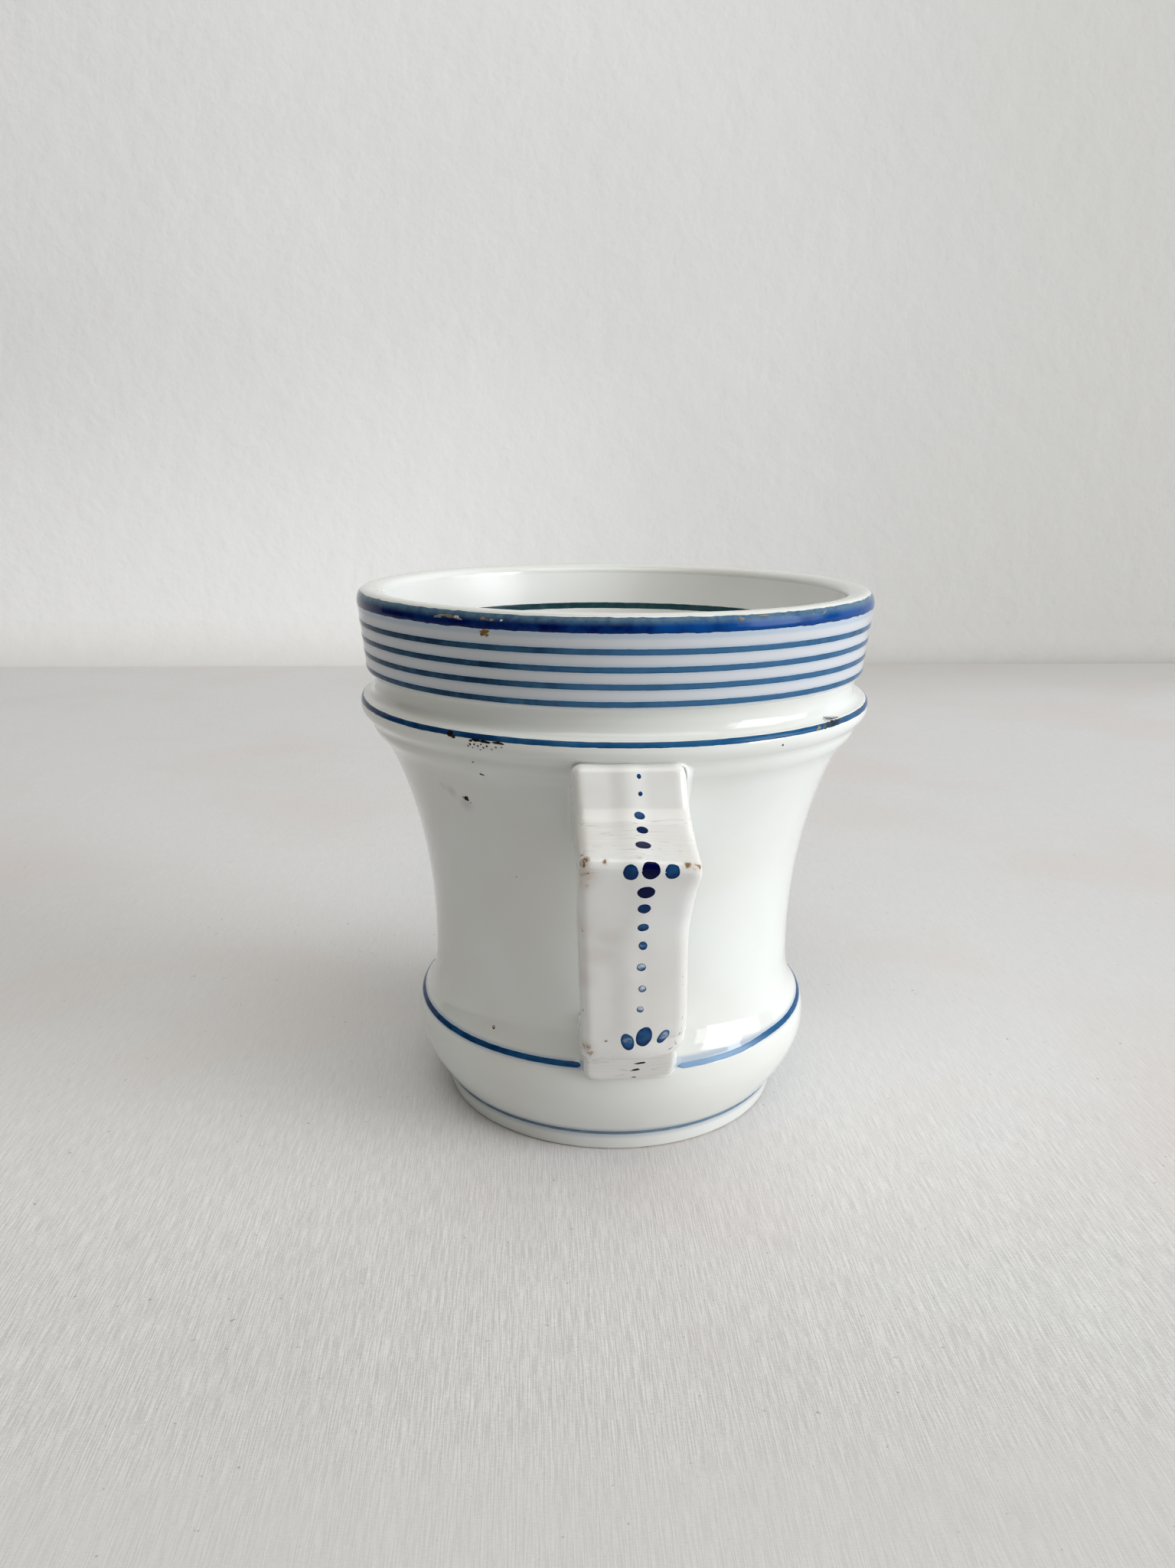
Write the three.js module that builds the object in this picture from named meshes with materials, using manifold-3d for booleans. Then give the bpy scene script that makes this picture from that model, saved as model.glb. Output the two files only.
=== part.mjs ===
// A thick-walled porcelain brulot cup with an angular strap handle.
// Lengths are in millimetres. +Z is up, the table is z = 0 and the handle points to -Y.
// Pieces are drawn round the body's own axis, and the whole cup is then centred over the origin.

import * as THREE from 'three';
import { mergeVertices } from 'three/addons/utils/BufferGeometryUtils.js';
import Module from 'manifold-3d';

const wasm = await Module();
wasm.setup();

// Foot ring
const footRadius = 28.3;
const footEdge = 0.4;
const footRise = 3.6;
const footFlare = 1.3;
const footRingWidth = 3.8;
const footRecess = 1.8;
const footRecessSlope = 1.2;

// Bulge, from the crease over the foot to the foot of the waist
const creaseStep = 0.3;
const creaseEdge = 0.3;
const bulgeRadius = 34.1;
const bulgeRise = 9.9;
const shoulderRise = 3.7;
const shoulderInset = 0.8;
const shoulderFilletRise = 8.3;

// Waist and flare
const waistRadius = 30.8;
const waistRise = 3.5;
const flareRise = 32.7;
const flareTopRadius = 37.2;

// Bead, ring and cove under the collar
const beadRise = 2.6;
const beadRadius = 39.4;
const grooveRise = 2.1;
const grooveRadius = 40.9;
const ringRise = 2.4;
const ringRadius = 42;
const ringTopRise = 1.4;
const ringTopInset = 0.8;
const coveRise = 2;
const coveRadius = 39.55;

// Collar and lip
const collarFootRise = 2;
const collarFootRadius = 40.25;
const collarEdgeRise = 1.6;
const collarEdgeRadius = 40.85;
const collarRise = 9.2;
const rimRadius = 41.9;
const lipRise = 2.3;
const lipCrestInset = 1.6;
const lipInnerDrop = 1.5;

// Wall and floor
const rimWall = 4.3;
const wall = 4.4;
const bulgeWall = 5.2;
const floorThickness = 4.2;
const floorFlatRadius = 20;

// Handle strap: thickness is measured along the reach
const strapThickness = 5.2;
const rootWidth = 15.6;
const elbowWidth = 16.2;
const heelWidth = 15;
const strapOffset = -0.2;
const heelOffset = 0.7;
const strapRound = 1;
const rootTopDrop = 1.8;
const rootStand = 0.4;
const elbowReach = 13.8;
const elbowDrop = 9.1;
const elbowRound = 1.4;
const innerElbowRound = 2.2;
const armTaper = 1;
const heelStand = 6.4;
const heelRise = 4.9;
const heelRound = 1.1;
const heelUndercut = 1.8;
const heelFilletRise = 5;
const heelFilletFootRise = 2.2;

// Pad under the heel
const padWidth = 13.6;
const padOffset = 0.5;
const padStand = 1.5;
const padToeStand = 0.8;
const padFootRise = 2.2;
const padRound = 0.8;
const padEdge = 0.5;

// Slip layers, and the clearances between neighbours
const slipThickness = 0.3;
const slipSpread = 0.4;
const seatGap = 0.3;

// Fineness of the facets
const turns = 60;
const curveSteps = 4;
const roundSteps = 3;

// Bends of the long curves, as shares of the rise and of the step that they span
const flareShares = { lowRise: 0.4, highRise: 0.78, highStep: 0.487 };
const bulgeBendShare = 0.6;

// The strap's outer face, as shares of the way from root to elbow and from elbow to heel
const armShares = [[0.059, 0.158], [0.081, 0.4], [0.148, 0.716], [0.296, 0.842], [0.519, 0.937]];
const frontShares = [[0.193, 0.169], [0.372, 0.308], [0.538, 0.494], [0.697, 0.692], [0.841, 0.856]];

// Heights, stacked from the table up
const creaseZ = footRise;
const bulgeZ = creaseZ + bulgeRise;
const shoulderZ = bulgeZ + shoulderRise;
const waistZ = shoulderZ + shoulderFilletRise;
const flareZ = waistZ + waistRise;
const beadZ = flareZ + flareRise;
const grooveZ = beadZ + beadRise;
const ringFootZ = grooveZ + grooveRise;
const ringZ = ringFootZ + ringRise;
const ringTopZ = ringZ + ringTopRise;
const coveZ = ringTopZ + coveRise;
const collarZ = coveZ + collarFootRise;
const collarEdgeZ = collarZ + collarEdgeRise;
const rimZ = collarEdgeZ + collarRise;
const crestZ = rimZ + lipRise;
const floorZ = footRecess + floorThickness;

// Radii that follow from others
const creaseRadius = footRadius + footFlare;
const shoulderRadius = bulgeRadius - shoulderInset;
const crestRadius = rimRadius - lipCrestInset;
const waistBoreRadius = waistRadius - wall;
const bulgeBoreRadius = bulgeRadius - bulgeWall;
const collarBoreRadius = collarEdgeRadius - wall;
const rimBoreRadius = rimRadius - rimWall;

// The handle's main places, in reach from the body's axis and in height
const rootTop = new THREE.Vector2(ringRadius - rootStand, ringZ - rootTopDrop);
const elbow = new THREE.Vector2(ringRadius + elbowReach, rootTop.y - elbowDrop);
const heel = new THREE.Vector2(bulgeRadius + heelStand, shoulderZ + heelRise);
const heelUnderZ = heel.y - heelUndercut;
const padTop = new THREE.Vector2(bulgeRadius + padStand, heelUnderZ - seatGap);
const padToe = new THREE.Vector2(bulgeRadius + padToeStand, bulgeZ + padFootRise);

// The long curve from the waist out to the bead, outside and inside alike
function traceFlare(path, lowRadius, highRadius) {
  const step = highRadius - lowRadius;
  path.bezierCurveTo(
    lowRadius, flareZ + flareRise * flareShares.lowRise,
    lowRadius + step * flareShares.highStep, flareZ + flareRise * flareShares.highRise,
    highRadius, beadZ,
  );
}

// The outside from the foot's edge up to the crest of the lip, in radius and height
function traceOutside(path) {
  path.lineTo(footRadius, footEdge);
  path.lineTo(creaseRadius, creaseZ);
  path.lineTo(creaseRadius + creaseStep, creaseZ + creaseEdge);
  path.quadraticCurveTo(bulgeRadius, creaseZ + bulgeRise * bulgeBendShare, bulgeRadius, bulgeZ);
  path.quadraticCurveTo(bulgeRadius, (bulgeZ + 3 * shoulderZ) / 4, shoulderRadius, shoulderZ);
  path.quadraticCurveTo(waistRadius, (2 * shoulderZ + waistZ) / 3, waistRadius, waistZ);
  path.lineTo(waistRadius, flareZ);
  traceFlare(path, waistRadius, flareTopRadius);
  path.quadraticCurveTo((flareTopRadius + 2 * beadRadius) / 3, beadZ + beadRise / 4, beadRadius, grooveZ);
  path.quadraticCurveTo((3 * beadRadius + grooveRadius) / 4, (grooveZ + ringFootZ) / 2, grooveRadius, ringFootZ);
  path.quadraticCurveTo(ringRadius, (ringFootZ + ringZ) / 2, ringRadius, ringZ);
  path.quadraticCurveTo(ringRadius, ringTopZ, ringRadius - ringTopInset, ringTopZ);
  path.quadraticCurveTo(coveRadius, ringTopZ, coveRadius, coveZ);
  path.quadraticCurveTo(coveRadius, (coveZ + 2 * collarZ) / 3, collarFootRadius, collarZ);
  path.quadraticCurveTo(collarEdgeRadius, collarZ, collarEdgeRadius, collarEdgeZ);
  path.lineTo(rimRadius, rimZ);
  path.quadraticCurveTo(rimRadius, crestZ, crestRadius, crestZ);
}

// The hollow from the middle of the floor up to the crest of the lip
function hollowPoints() {
  const path = new THREE.Path();
  path.moveTo(0, floorZ);
  path.lineTo(floorFlatRadius, floorZ);
  path.quadraticCurveTo(bulgeBoreRadius, floorZ, bulgeBoreRadius, bulgeZ);
  path.quadraticCurveTo(bulgeBoreRadius, (bulgeZ + shoulderZ) / 2, waistBoreRadius, waistZ);
  path.lineTo(waistBoreRadius, flareZ);
  traceFlare(path, waistBoreRadius, flareTopRadius - wall);
  path.quadraticCurveTo(
    (flareTopRadius - wall + 3 * collarBoreRadius) / 4, ringFootZ,
    collarBoreRadius, collarEdgeZ,
  );
  path.lineTo(rimBoreRadius, crestZ - lipInnerDrop);
  path.quadraticCurveTo(rimBoreRadius, crestZ, crestRadius, crestZ);
  return path.getPoints(curveSteps);
}

// The whole section: underside from the axis out, outside up, hollow down to the axis
function bodyPoints() {
  const ringBoreRadius = footRadius - footRingWidth;
  const path = new THREE.Path();
  path.moveTo(0, footRecess);
  path.lineTo(ringBoreRadius - footRecessSlope, footRecess);
  path.lineTo(ringBoreRadius, 0);
  path.lineTo(footRadius - footEdge, 0);
  traceOutside(path);
  const hollow = hollowPoints().reverse();
  return path.getPoints(curveSteps).concat(hollow.slice(1));
}

function turned(points) {
  const geometry = new THREE.LatheGeometry(points, turns);
  geometry.rotateX(Math.PI / 2);
  return geometry;
}

function toSolid(geometry) {
  const bare = geometry.clone();
  bare.deleteAttribute('normal');
  bare.deleteAttribute('uv');
  const merged = mergeVertices(bare);
  return new wasm.Manifold(new wasm.Mesh({
    numProp: 3,
    vertProperties: new Float32Array(merged.attributes.position.array),
    triVerts: new Uint32Array(merged.index.array),
  }));
}

function toGeometry(solid) {
  const mesh = solid.getMesh();
  const geometry = new THREE.BufferGeometry();
  geometry.setAttribute('position', new THREE.BufferAttribute(mesh.vertProperties, mesh.numProp));
  geometry.setIndex(new THREE.BufferAttribute(mesh.triVerts, 1));
  geometry.computeVertexNormals();
  return geometry;
}

// The body without its hollow, grown by a clearance, to cut what is luted to it
function grownBody(clearance) {
  const path = new THREE.Path();
  path.moveTo(footRadius - footEdge, 0);
  traceOutside(path);
  const side = path.getPoints(curveSteps).map((point) => new THREE.Vector2(point.x + clearance, point.y));
  const bottom = new THREE.Vector2(0, 0);
  const top = new THREE.Vector2(0, crestZ);
  return toSolid(turned([bottom, ...side, top]));
}

// Adds a corner to an outline, rounded to a radius
function addCorner(outline, before, corner, after, radius) {
  const back = before.clone().sub(corner).normalize();
  const onward = after.clone().sub(corner).normalize();
  const half = back.angleTo(onward) / 2;
  const side = Math.sign(onward.cross(back));
  const sweep = side * (Math.PI - 2 * half);
  const centre = back.clone().add(onward).normalize().multiplyScalar(radius / Math.sin(half)).add(corner);
  const start = back.multiplyScalar(radius / Math.tan(half)).add(corner).sub(centre);
  for (let step = 0; step <= roundSteps; step += 1) {
    const spoke = start.clone().rotateAround(new THREE.Vector2(), sweep * step / roundSteps);
    outline.lineTo(centre.x + spoke.x, centre.y + spoke.y);
  }
}

// A closed outline through corners, each of which may have a round
function roundedOutline(corners) {
  const outline = new THREE.Shape();
  const count = corners.length;
  outline.moveTo(corners[0].at.x, corners[0].at.y);
  for (let index = 1; index < count; index += 1) {
    const { at, round } = corners[index];
    if (round) {
      addCorner(outline, corners[index - 1].at, at, corners[(index + 1) % count].at, round);
    } else {
      outline.lineTo(at.x, at.y);
    }
  }
  return outline;
}

function corner(reach, height, round = 0) {
  return { at: new THREE.Vector2(reach, height), round };
}

function cornersBetween(start, end, shares) {
  return shares.map(([across, along]) => corner(
    start.x + (end.x - start.x) * across,
    start.y + (end.y - start.y) * along,
  ));
}

// Turns an outline in reach and height into a bar across the cup with rounded edges
function barAcross(outline, width, round, sideways) {
  const geometry = new THREE.ExtrudeGeometry(outline, {
    depth: width - 2 * round,
    bevelThickness: round,
    bevelSize: round,
    bevelOffset: -round,
    bevelSegments: roundSteps,
  });
  geometry.translate(0, 0, round - width / 2);
  const reachAxis = new THREE.Vector3(0, -1, 0);
  const heightAxis = new THREE.Vector3(0, 0, 1);
  const sideAxis = new THREE.Vector3(-1, 0, 0);
  geometry.applyMatrix4(new THREE.Matrix4().makeBasis(reachAxis, heightAxis, sideAxis));
  geometry.translate(sideways, 0, 0);
  return geometry;
}

// Where the inside of the strap's front lies at a height, one thickness in from its face
function innerReachAt(height) {
  const face = [elbow, ...cornersBetween(elbow, heel, frontShares).map(({ at }) => at), heel];
  const next = face.findIndex((point) => point.y <= height);
  const [above, below] = [face[next - 1], face[next]];
  const share = (height - above.y) / (below.y - above.y);
  return above.x + (below.x - above.x) * share - strapThickness;
}

// The strap from the side: under the heel, up its face, over the elbow, into the body and back inside
function strapOutline() {
  const face = cornersBetween(elbow, heel, frontShares).reverse();
  const arm = cornersBetween(rootTop, elbow, armShares).reverse();
  const undersideZ = elbow.y - strapThickness;
  const filletZ = heel.y + heelFilletRise;
  const innerTopZ = undersideZ - 2 * innerElbowRound;
  const inner = [...face].reverse().filter(({ at }) => at.y < innerTopZ && at.y > filletZ);
  return roundedOutline([
    corner(waistBoreRadius, heelUnderZ),
    corner(padTop.x, heelUnderZ),
    corner(heel.x, heel.y, heelRound),
    ...face,
    corner(elbow.x, elbow.y, elbowRound),
    ...arm,
    corner(rootTop.x, rootTop.y),
    corner(waistBoreRadius, rootTop.y),
    corner(waistBoreRadius, undersideZ + armTaper),
    corner(innerReachAt(undersideZ), undersideZ, innerElbowRound),
    corner(innerReachAt(innerTopZ), innerTopZ),
    ...inner.map(({ at }) => corner(at.x - strapThickness, at.y)),
    corner(innerReachAt(filletZ), filletZ),
    corner(waistRadius, heel.y + heelFilletFootRise),
    corner(waistBoreRadius, heel.y + heelFilletFootRise),
  ]);
}

// The strap widens from the root to the elbow and narrows down to the heel
function widthAt(height) {
  if (height > elbow.y) {
    return THREE.MathUtils.mapLinear(height, elbow.y, rootTop.y, elbowWidth, rootWidth);
  }
  return THREE.MathUtils.mapLinear(height, heel.y, elbow.y, heelWidth, elbowWidth);
}

// Its lower end was pressed on a little to one side
function offsetAt(height) {
  const share = THREE.MathUtils.clamp((elbow.y - height) / (elbow.y - heel.y), 0, 1);
  return strapOffset + (heelOffset - strapOffset) * share * share;
}

function shapeStrap(geometry) {
  const places = geometry.attributes.position;
  for (let index = 0; index < places.count; index += 1) {
    const height = places.getZ(index);
    places.setX(index, places.getX(index) * widthAt(height) / elbowWidth + offsetAt(height));
  }
  return geometry;
}

function padOutline() {
  return roundedOutline([
    corner(waistBoreRadius, padToe.y),
    corner(padToe.x, padToe.y, padRound),
    corner(padTop.x, padTop.y, padRound),
    corner(waistBoreRadius, padTop.y),
  ]);
}

// A layer of slip on the body behind a seat, between two heights
function slipLayer(lowZ, highZ, width, sideways) {
  const outline = roundedOutline([
    corner(waistBoreRadius, lowZ),
    corner(elbow.x, lowZ),
    corner(elbow.x, highZ),
    corner(waistBoreRadius, highZ),
  ]);
  const slab = toSolid(barAcross(outline, width, slipSpread, sideways));
  const skin = grownBody(seatGap + slipThickness).subtract(grownBody(seatGap));
  return slab.intersect(skin);
}

const bodyGlaze = new THREE.MeshStandardMaterial({ color: '#e9eaea', roughness: 0.12, metalness: 0 });
const handleGlaze = new THREE.MeshStandardMaterial({ color: '#eceae6', roughness: 0.14, metalness: 0 });
const padGlaze = new THREE.MeshStandardMaterial({ color: '#e4e3dd', roughness: 0.18, metalness: 0 });
const slipGlaze = new THREE.MeshStandardMaterial({ color: '#dedfdb', roughness: 0.25, metalness: 0 });

function addPiece(group, name, geometry, material) {
  const mesh = new THREE.Mesh(geometry, material);
  mesh.name = name;
  group.add(mesh);
}

const luted = grownBody(2 * seatGap + slipThickness);
const strap = toSolid(shapeStrap(barAcross(strapOutline(), elbowWidth, strapRound, 0))).subtract(luted);
const pad = toSolid(barAcross(padOutline(), padWidth, padEdge, padOffset)).subtract(luted);
const upperSlip = slipLayer(
  elbow.y - strapThickness - slipSpread, rootTop.y + slipSpread,
  rootWidth + 2 * slipSpread, strapOffset,
);
const lowerSlip = slipLayer(
  padToe.y - slipSpread, heel.y + heelFilletFootRise + slipSpread,
  padWidth + 2 * slipSpread, padOffset,
);

const cup = new THREE.Group();
addPiece(cup, 'cup_body', turned(bodyPoints()), bodyGlaze);
addPiece(cup, 'handle', toGeometry(strap), handleGlaze);
addPiece(cup, 'heel_pad', toGeometry(pad), padGlaze);
addPiece(cup, 'upper_slip_joint', toGeometry(upperSlip), slipGlaze);
addPiece(cup, 'lower_slip_joint', toGeometry(lowerSlip), slipGlaze);

const extent = new THREE.Box3().setFromObject(cup);
cup.position.y = -(extent.min.y + extent.max.y) / 2;

export default cup;
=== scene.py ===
# %% [markdown]
# # A thick porcelain brulot cup
# The real cup is fired clay under a clear glaze, with blue lines painted on by hand as it turned,
# and a strap handle that was pressed in a mould and stuck on with liquid clay.
# The CAD frame already holds the true sizes. This lesson dresses it: the turned body, the moulded strap,
# the clay joints, the painted strokes and dots, the stains of age, and the cloth that it stands on.

# %% Load the frame
import math

import bmesh
import bpy
from mathutils import Matrix, Vector, noise
from mathutils.bvhtree import BVHTree
from mathutils.geometry import interpolate_bezier


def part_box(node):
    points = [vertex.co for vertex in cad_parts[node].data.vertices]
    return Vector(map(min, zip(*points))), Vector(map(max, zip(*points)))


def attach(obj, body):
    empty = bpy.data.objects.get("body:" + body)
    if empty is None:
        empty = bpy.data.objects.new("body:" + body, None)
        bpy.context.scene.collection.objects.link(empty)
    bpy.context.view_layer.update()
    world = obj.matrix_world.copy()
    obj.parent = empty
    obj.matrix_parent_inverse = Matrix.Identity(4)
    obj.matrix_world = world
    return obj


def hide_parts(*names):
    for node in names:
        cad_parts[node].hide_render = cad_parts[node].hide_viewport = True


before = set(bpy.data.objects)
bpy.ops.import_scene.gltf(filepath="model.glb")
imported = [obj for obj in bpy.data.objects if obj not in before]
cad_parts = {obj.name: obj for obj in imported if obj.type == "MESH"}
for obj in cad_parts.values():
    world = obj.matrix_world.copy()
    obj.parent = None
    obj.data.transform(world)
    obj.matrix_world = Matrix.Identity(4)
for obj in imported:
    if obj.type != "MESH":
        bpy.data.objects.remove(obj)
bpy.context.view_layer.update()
MM = 0.001
body_low, body_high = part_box("cup_body")
AXIS_Y = (body_low.y + body_high.y) / 2
PAINT_ROOM = 0.1  # kept free inside the CAD's box, for the skin of paint
RING_RADIUS = (body_high.x - body_low.x) / 2 / MM - PAINT_ROOM
CREST_Z = body_high.z / MM
print("axis at y", round(AXIS_Y / MM, 3), "mm")
print("ring radius", round(RING_RADIUS, 2), "mm, height", round(CREST_Z, 2), "mm")

# %% [markdown]
# ## The camera
# A phone stood close to the cup and a little above its rim, so near circles look wider than far ones.
# The camera is set in plain lengths and angles first, because every later step is judged through it.
# The photograph's long side is upright, and Blender's sensor width then belongs to that long side.

# %% Set the camera
CAMERA_DISTANCE = 196.309
CAMERA_HEIGHT = 106.256
CAMERA_SIDE = math.radians(4.0)
CAMERA_HEADING = math.radians(2.748)
CAMERA_PITCH = math.radians(15.184)
CAMERA_ROLL = math.radians(0.282)
CAMERA_LENS = 27.05

camera_data = bpy.data.cameras.new("camera")
camera_data.lens = CAMERA_LENS
camera_data.sensor_width = 36
camera_data.clip_start = 0.01
camera = bpy.data.objects.new("camera", camera_data)
bpy.context.scene.collection.objects.link(camera)
camera.matrix_world = (
    Matrix.Translation((
        -CAMERA_DISTANCE * math.sin(CAMERA_SIDE) * MM,
        AXIS_Y - CAMERA_DISTANCE * math.cos(CAMERA_SIDE) * MM,
        CAMERA_HEIGHT * MM,
    ))
    @ Matrix.Rotation(-CAMERA_HEADING, 4, "Z")
    @ Matrix.Rotation(math.pi / 2 - CAMERA_PITCH, 4, "X")
    @ Matrix.Rotation(CAMERA_ROLL, 4, "Z")
)
bpy.context.scene.camera = camera
print("camera at", [round(value / MM, 1) for value in camera.matrix_world.translation], "mm")

# %% [markdown]
# ## Small helpers
# Every piece ends the same way: its bmesh becomes an object at the origin, which rides on the cup
# and names its finish.
# Colours are written as the eye reads them, in sRGB hex, and one function turns them to the linear values
# that Blender mixes. One more adds a shader node with its settings and links.

# %% Objects, colours and nodes
GLASS_IOR = 1.5


def finish_piece(bm, name, material, replaces=()):
    bmesh.ops.recalc_face_normals(bm, faces=bm.faces)
    for face in bm.faces:
        face.smooth = True
    mesh = bpy.data.meshes.new(name)
    bm.to_mesh(mesh)
    bm.free()
    mesh.materials.append(material)
    piece = bpy.data.objects.new(name, mesh)
    bpy.context.scene.collection.objects.link(piece)
    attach(piece, "root")
    if replaces:
        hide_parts(*replaces)
    print(name, "has", sum(len(polygon.vertices) - 2 for polygon in mesh.polygons), "triangles")
    return piece


def paint(code):
    channels = [int(code[start:start + 2], 16) / 255 for start in (1, 3, 5)]
    linear = [c / 12.92 if c <= 0.04045 else ((c + 0.055) / 1.055) ** 2.4 for c in channels]
    return (*linear, 1)


def add(material, kind, sockets=None, **settings):
    node = material.node_tree.nodes.new("ShaderNode" + kind)
    for key, value in settings.items():
        setattr(node, key, value)
    for key, value in (sockets or {}).items():
        if isinstance(value, bpy.types.NodeSocket):
            material.node_tree.links.new(value, node.inputs[key])
        else:
            node.inputs[key].default_value = value
    return node


def new_material(name):
    material = bpy.data.materials.new(name)
    material.use_nodes = True
    return material, material.node_tree.nodes["Principled BSDF"]


def link(material, source, target):
    material.node_tree.links.new(source, target)


# %% Patterns that several finishes share
def spots(material, position, size, detail=3, roughness=0.5):
    return add(material, "TexNoise", {
        "Vector": position, "Scale": 1 / (size * MM), "Detail": detail, "Roughness": roughness,
    }).outputs["Fac"]


def between(material, value, low, high, new_low=0, new_high=1):
    return add(material, "MapRange", {
        "Value": value, "From Min": low, "From Max": high, "To Min": new_low, "To Max": new_high,
    }, interpolation_type="SMOOTHSTEP").outputs["Result"]


def mix(material, share, first, second):
    node = add(material, "Mix", {"Factor": share}, data_type="RGBA")
    for socket, value in ((node.inputs[6], first), (node.inputs[7], second)):
        if isinstance(value, bpy.types.NodeSocket):
            link(material, value, socket)
        else:
            socket.default_value = value
    return node.outputs[2]


def maths(material, operation, first, second=0, clamp=False):
    return add(material, "Math", {0: first, 1: second}, operation=operation, use_clamp=clamp).outputs[0]


def relief(material, height, depth, strength=1, below=None):
    sockets = {"Height": height, "Distance": depth * MM, "Strength": strength}
    if below:
        sockets["Normal"] = below
    return add(material, "Bump", sockets).outputs["Normal"]


def stain(material, position, place, radius):
    away = add(material, "VectorMath", {0: position, 1: place}, operation="DISTANCE").outputs["Value"]
    return between(material, away, radius * MM, 0)


# %% [markdown]
# ## The glaze
# Hard porcelain is a slightly cold white. Its clear glaze is glass, so the eye reads it by sharp reflections
# that bend a little, because the glaze pooled and the clay under it was wiped by hand.
# Reflections come from a low roughness and an IOR of 1.5, and the bends from two soft bump patterns:
# slow waves 14 mm across, and the fine orange peel of a fired glaze, drawn at 1.6 mm.

# %% Clear glaze over white porcelain
def glazed_porcelain(name, cold, warm, tint=None, gloss=(0.05, 0.13)):
    """Glaze over white clay. Tint, if given, recolours the white before the glaze's bumps are added."""
    material, shader = new_material(name)
    position = add(material, "TexCoord").outputs["Object"]
    patches = between(material, spots(material, position, 22), 0.35, 0.65)
    dust = between(material, spots(material, position, 3.2, 5, 0.6), 0.4, 0.75)
    colour = mix(material, patches, paint(cold), paint(warm))
    if tint:
        colour = tint(material, position, colour)
    waves = spots(material, position, 14, 1, 0.4)
    peel = spots(material, position, 1.6, 2, 0.5)
    slow = relief(material, waves, 0.35, 0.5)
    shader.inputs["IOR"].default_value = GLASS_IOR
    link(material, colour, shader.inputs["Base Color"])
    link(material, between(material, dust, 0, 1, *gloss), shader.inputs["Roughness"])
    link(material, relief(material, peel, 0.012, 0.6, slow), shader.inputs["Normal"])
    return material


# %% The flush of cobalt round the collar's lines
# The four lines and the band's lower edge lie one step apart, so one folded ramp finds the nearest of them
COLLAR_LINE_Z, LINE_STEP = 75.05, 2.42
FLUSH_LOW, FLUSH_HIGH, FLUSH_RADIUS = 74.0, 86.2, 39.6
FOOT_LINE_Z, SHOULDER_LINE_Z = 3.45, 17.15

# A grey smear lies in the glaze beside the largest speck: place and radius in millimetres
SMEAR = [(-25.6, -25.2, 59.2, 1.7), (-23.4, -26.4, 57.5, 1.9), (-26.8, -24.0, 59.8, 1.2)]


def cobalt_flush(material, position, colour):
    """Cobalt creeps into the glaze: the collar's white is greyer and bluer, most of all beside the lines.
    The foot's line and the shoulder's line bleed a little too."""
    from_axis = add(material, "VectorMath", {0: position, 1: (0, AXIS_Y, 0)}, operation="SUBTRACT").outputs[0]
    level = add(material, "VectorMath", {0: from_axis, 1: (1, 1, 0)}, operation="MULTIPLY").outputs[0]
    radius = add(material, "VectorMath", {0: level}, operation="LENGTH").outputs["Value"]
    height = add(material, "SeparateXYZ", {0: position}).outputs["Z"]
    outer = between(material, radius, FLUSH_RADIUS * MM, (FLUSH_RADIUS + 0.6) * MM)
    above = between(material, height, FLUSH_LOW * MM, (FLUSH_LOW + 0.8) * MM)
    below = between(material, height, (FLUSH_HIGH + 0.6) * MM, FLUSH_HIGH * MM)
    collar = maths(material, "MULTIPLY", outer, maths(material, "MULTIPLY", above, below))
    over_first = maths(material, "SUBTRACT", height, COLLAR_LINE_Z * MM)
    folded = maths(material, "PINGPONG", over_first, LINE_STEP / 2 * MM)
    beside = between(material, folded, 0.95 * MM, 0.4 * MM)
    flush = mix(material, beside, paint("#d0d3d8"), paint("#b5c4d3"))
    from_foot_line = maths(material, "ABSOLUTE", maths(material, "SUBTRACT", height, FOOT_LINE_Z * MM))
    pool = maths(material, "MULTIPLY", between(material, from_foot_line, 1.5 * MM, 0.3 * MM), 0.6)
    colour = mix(material, pool, colour, paint("#9aabbb"))
    from_shoulder = maths(material, "ABSOLUTE", maths(material, "SUBTRACT", height, SHOULDER_LINE_Z * MM))
    bled = maths(material, "MULTIPLY", between(material, from_shoulder, 0.95 * MM, 0.3 * MM), 0.6)
    colour = mix(material, bled, colour, paint("#8fa9c8"))
    for across, back, level_z, size in SMEAR:
        cloud = stain(material, position, (across * MM, AXIS_Y + back * MM, level_z * MM), size)
        colour = mix(material, maths(material, "MULTIPLY", cloud, 0.3), colour, paint("#83808c"))
    return mix(material, collar, colour, flush)


body_glaze = glazed_porcelain("glazed_porcelain_body", "#e9ece9", "#e6e7e2", cobalt_flush, (0.04, 0.09))

# %% [markdown]
# ## The body
# A jigger turned the real body: wet clay in a spinning mould, shaped by a template of the section.
# The same is done here. Half of the section is drawn as a line of short curves, and Spin carries it round.
# The profile repeats the CAD's stacked rises, so each band, bead and ring lands on its CAD height.

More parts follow.
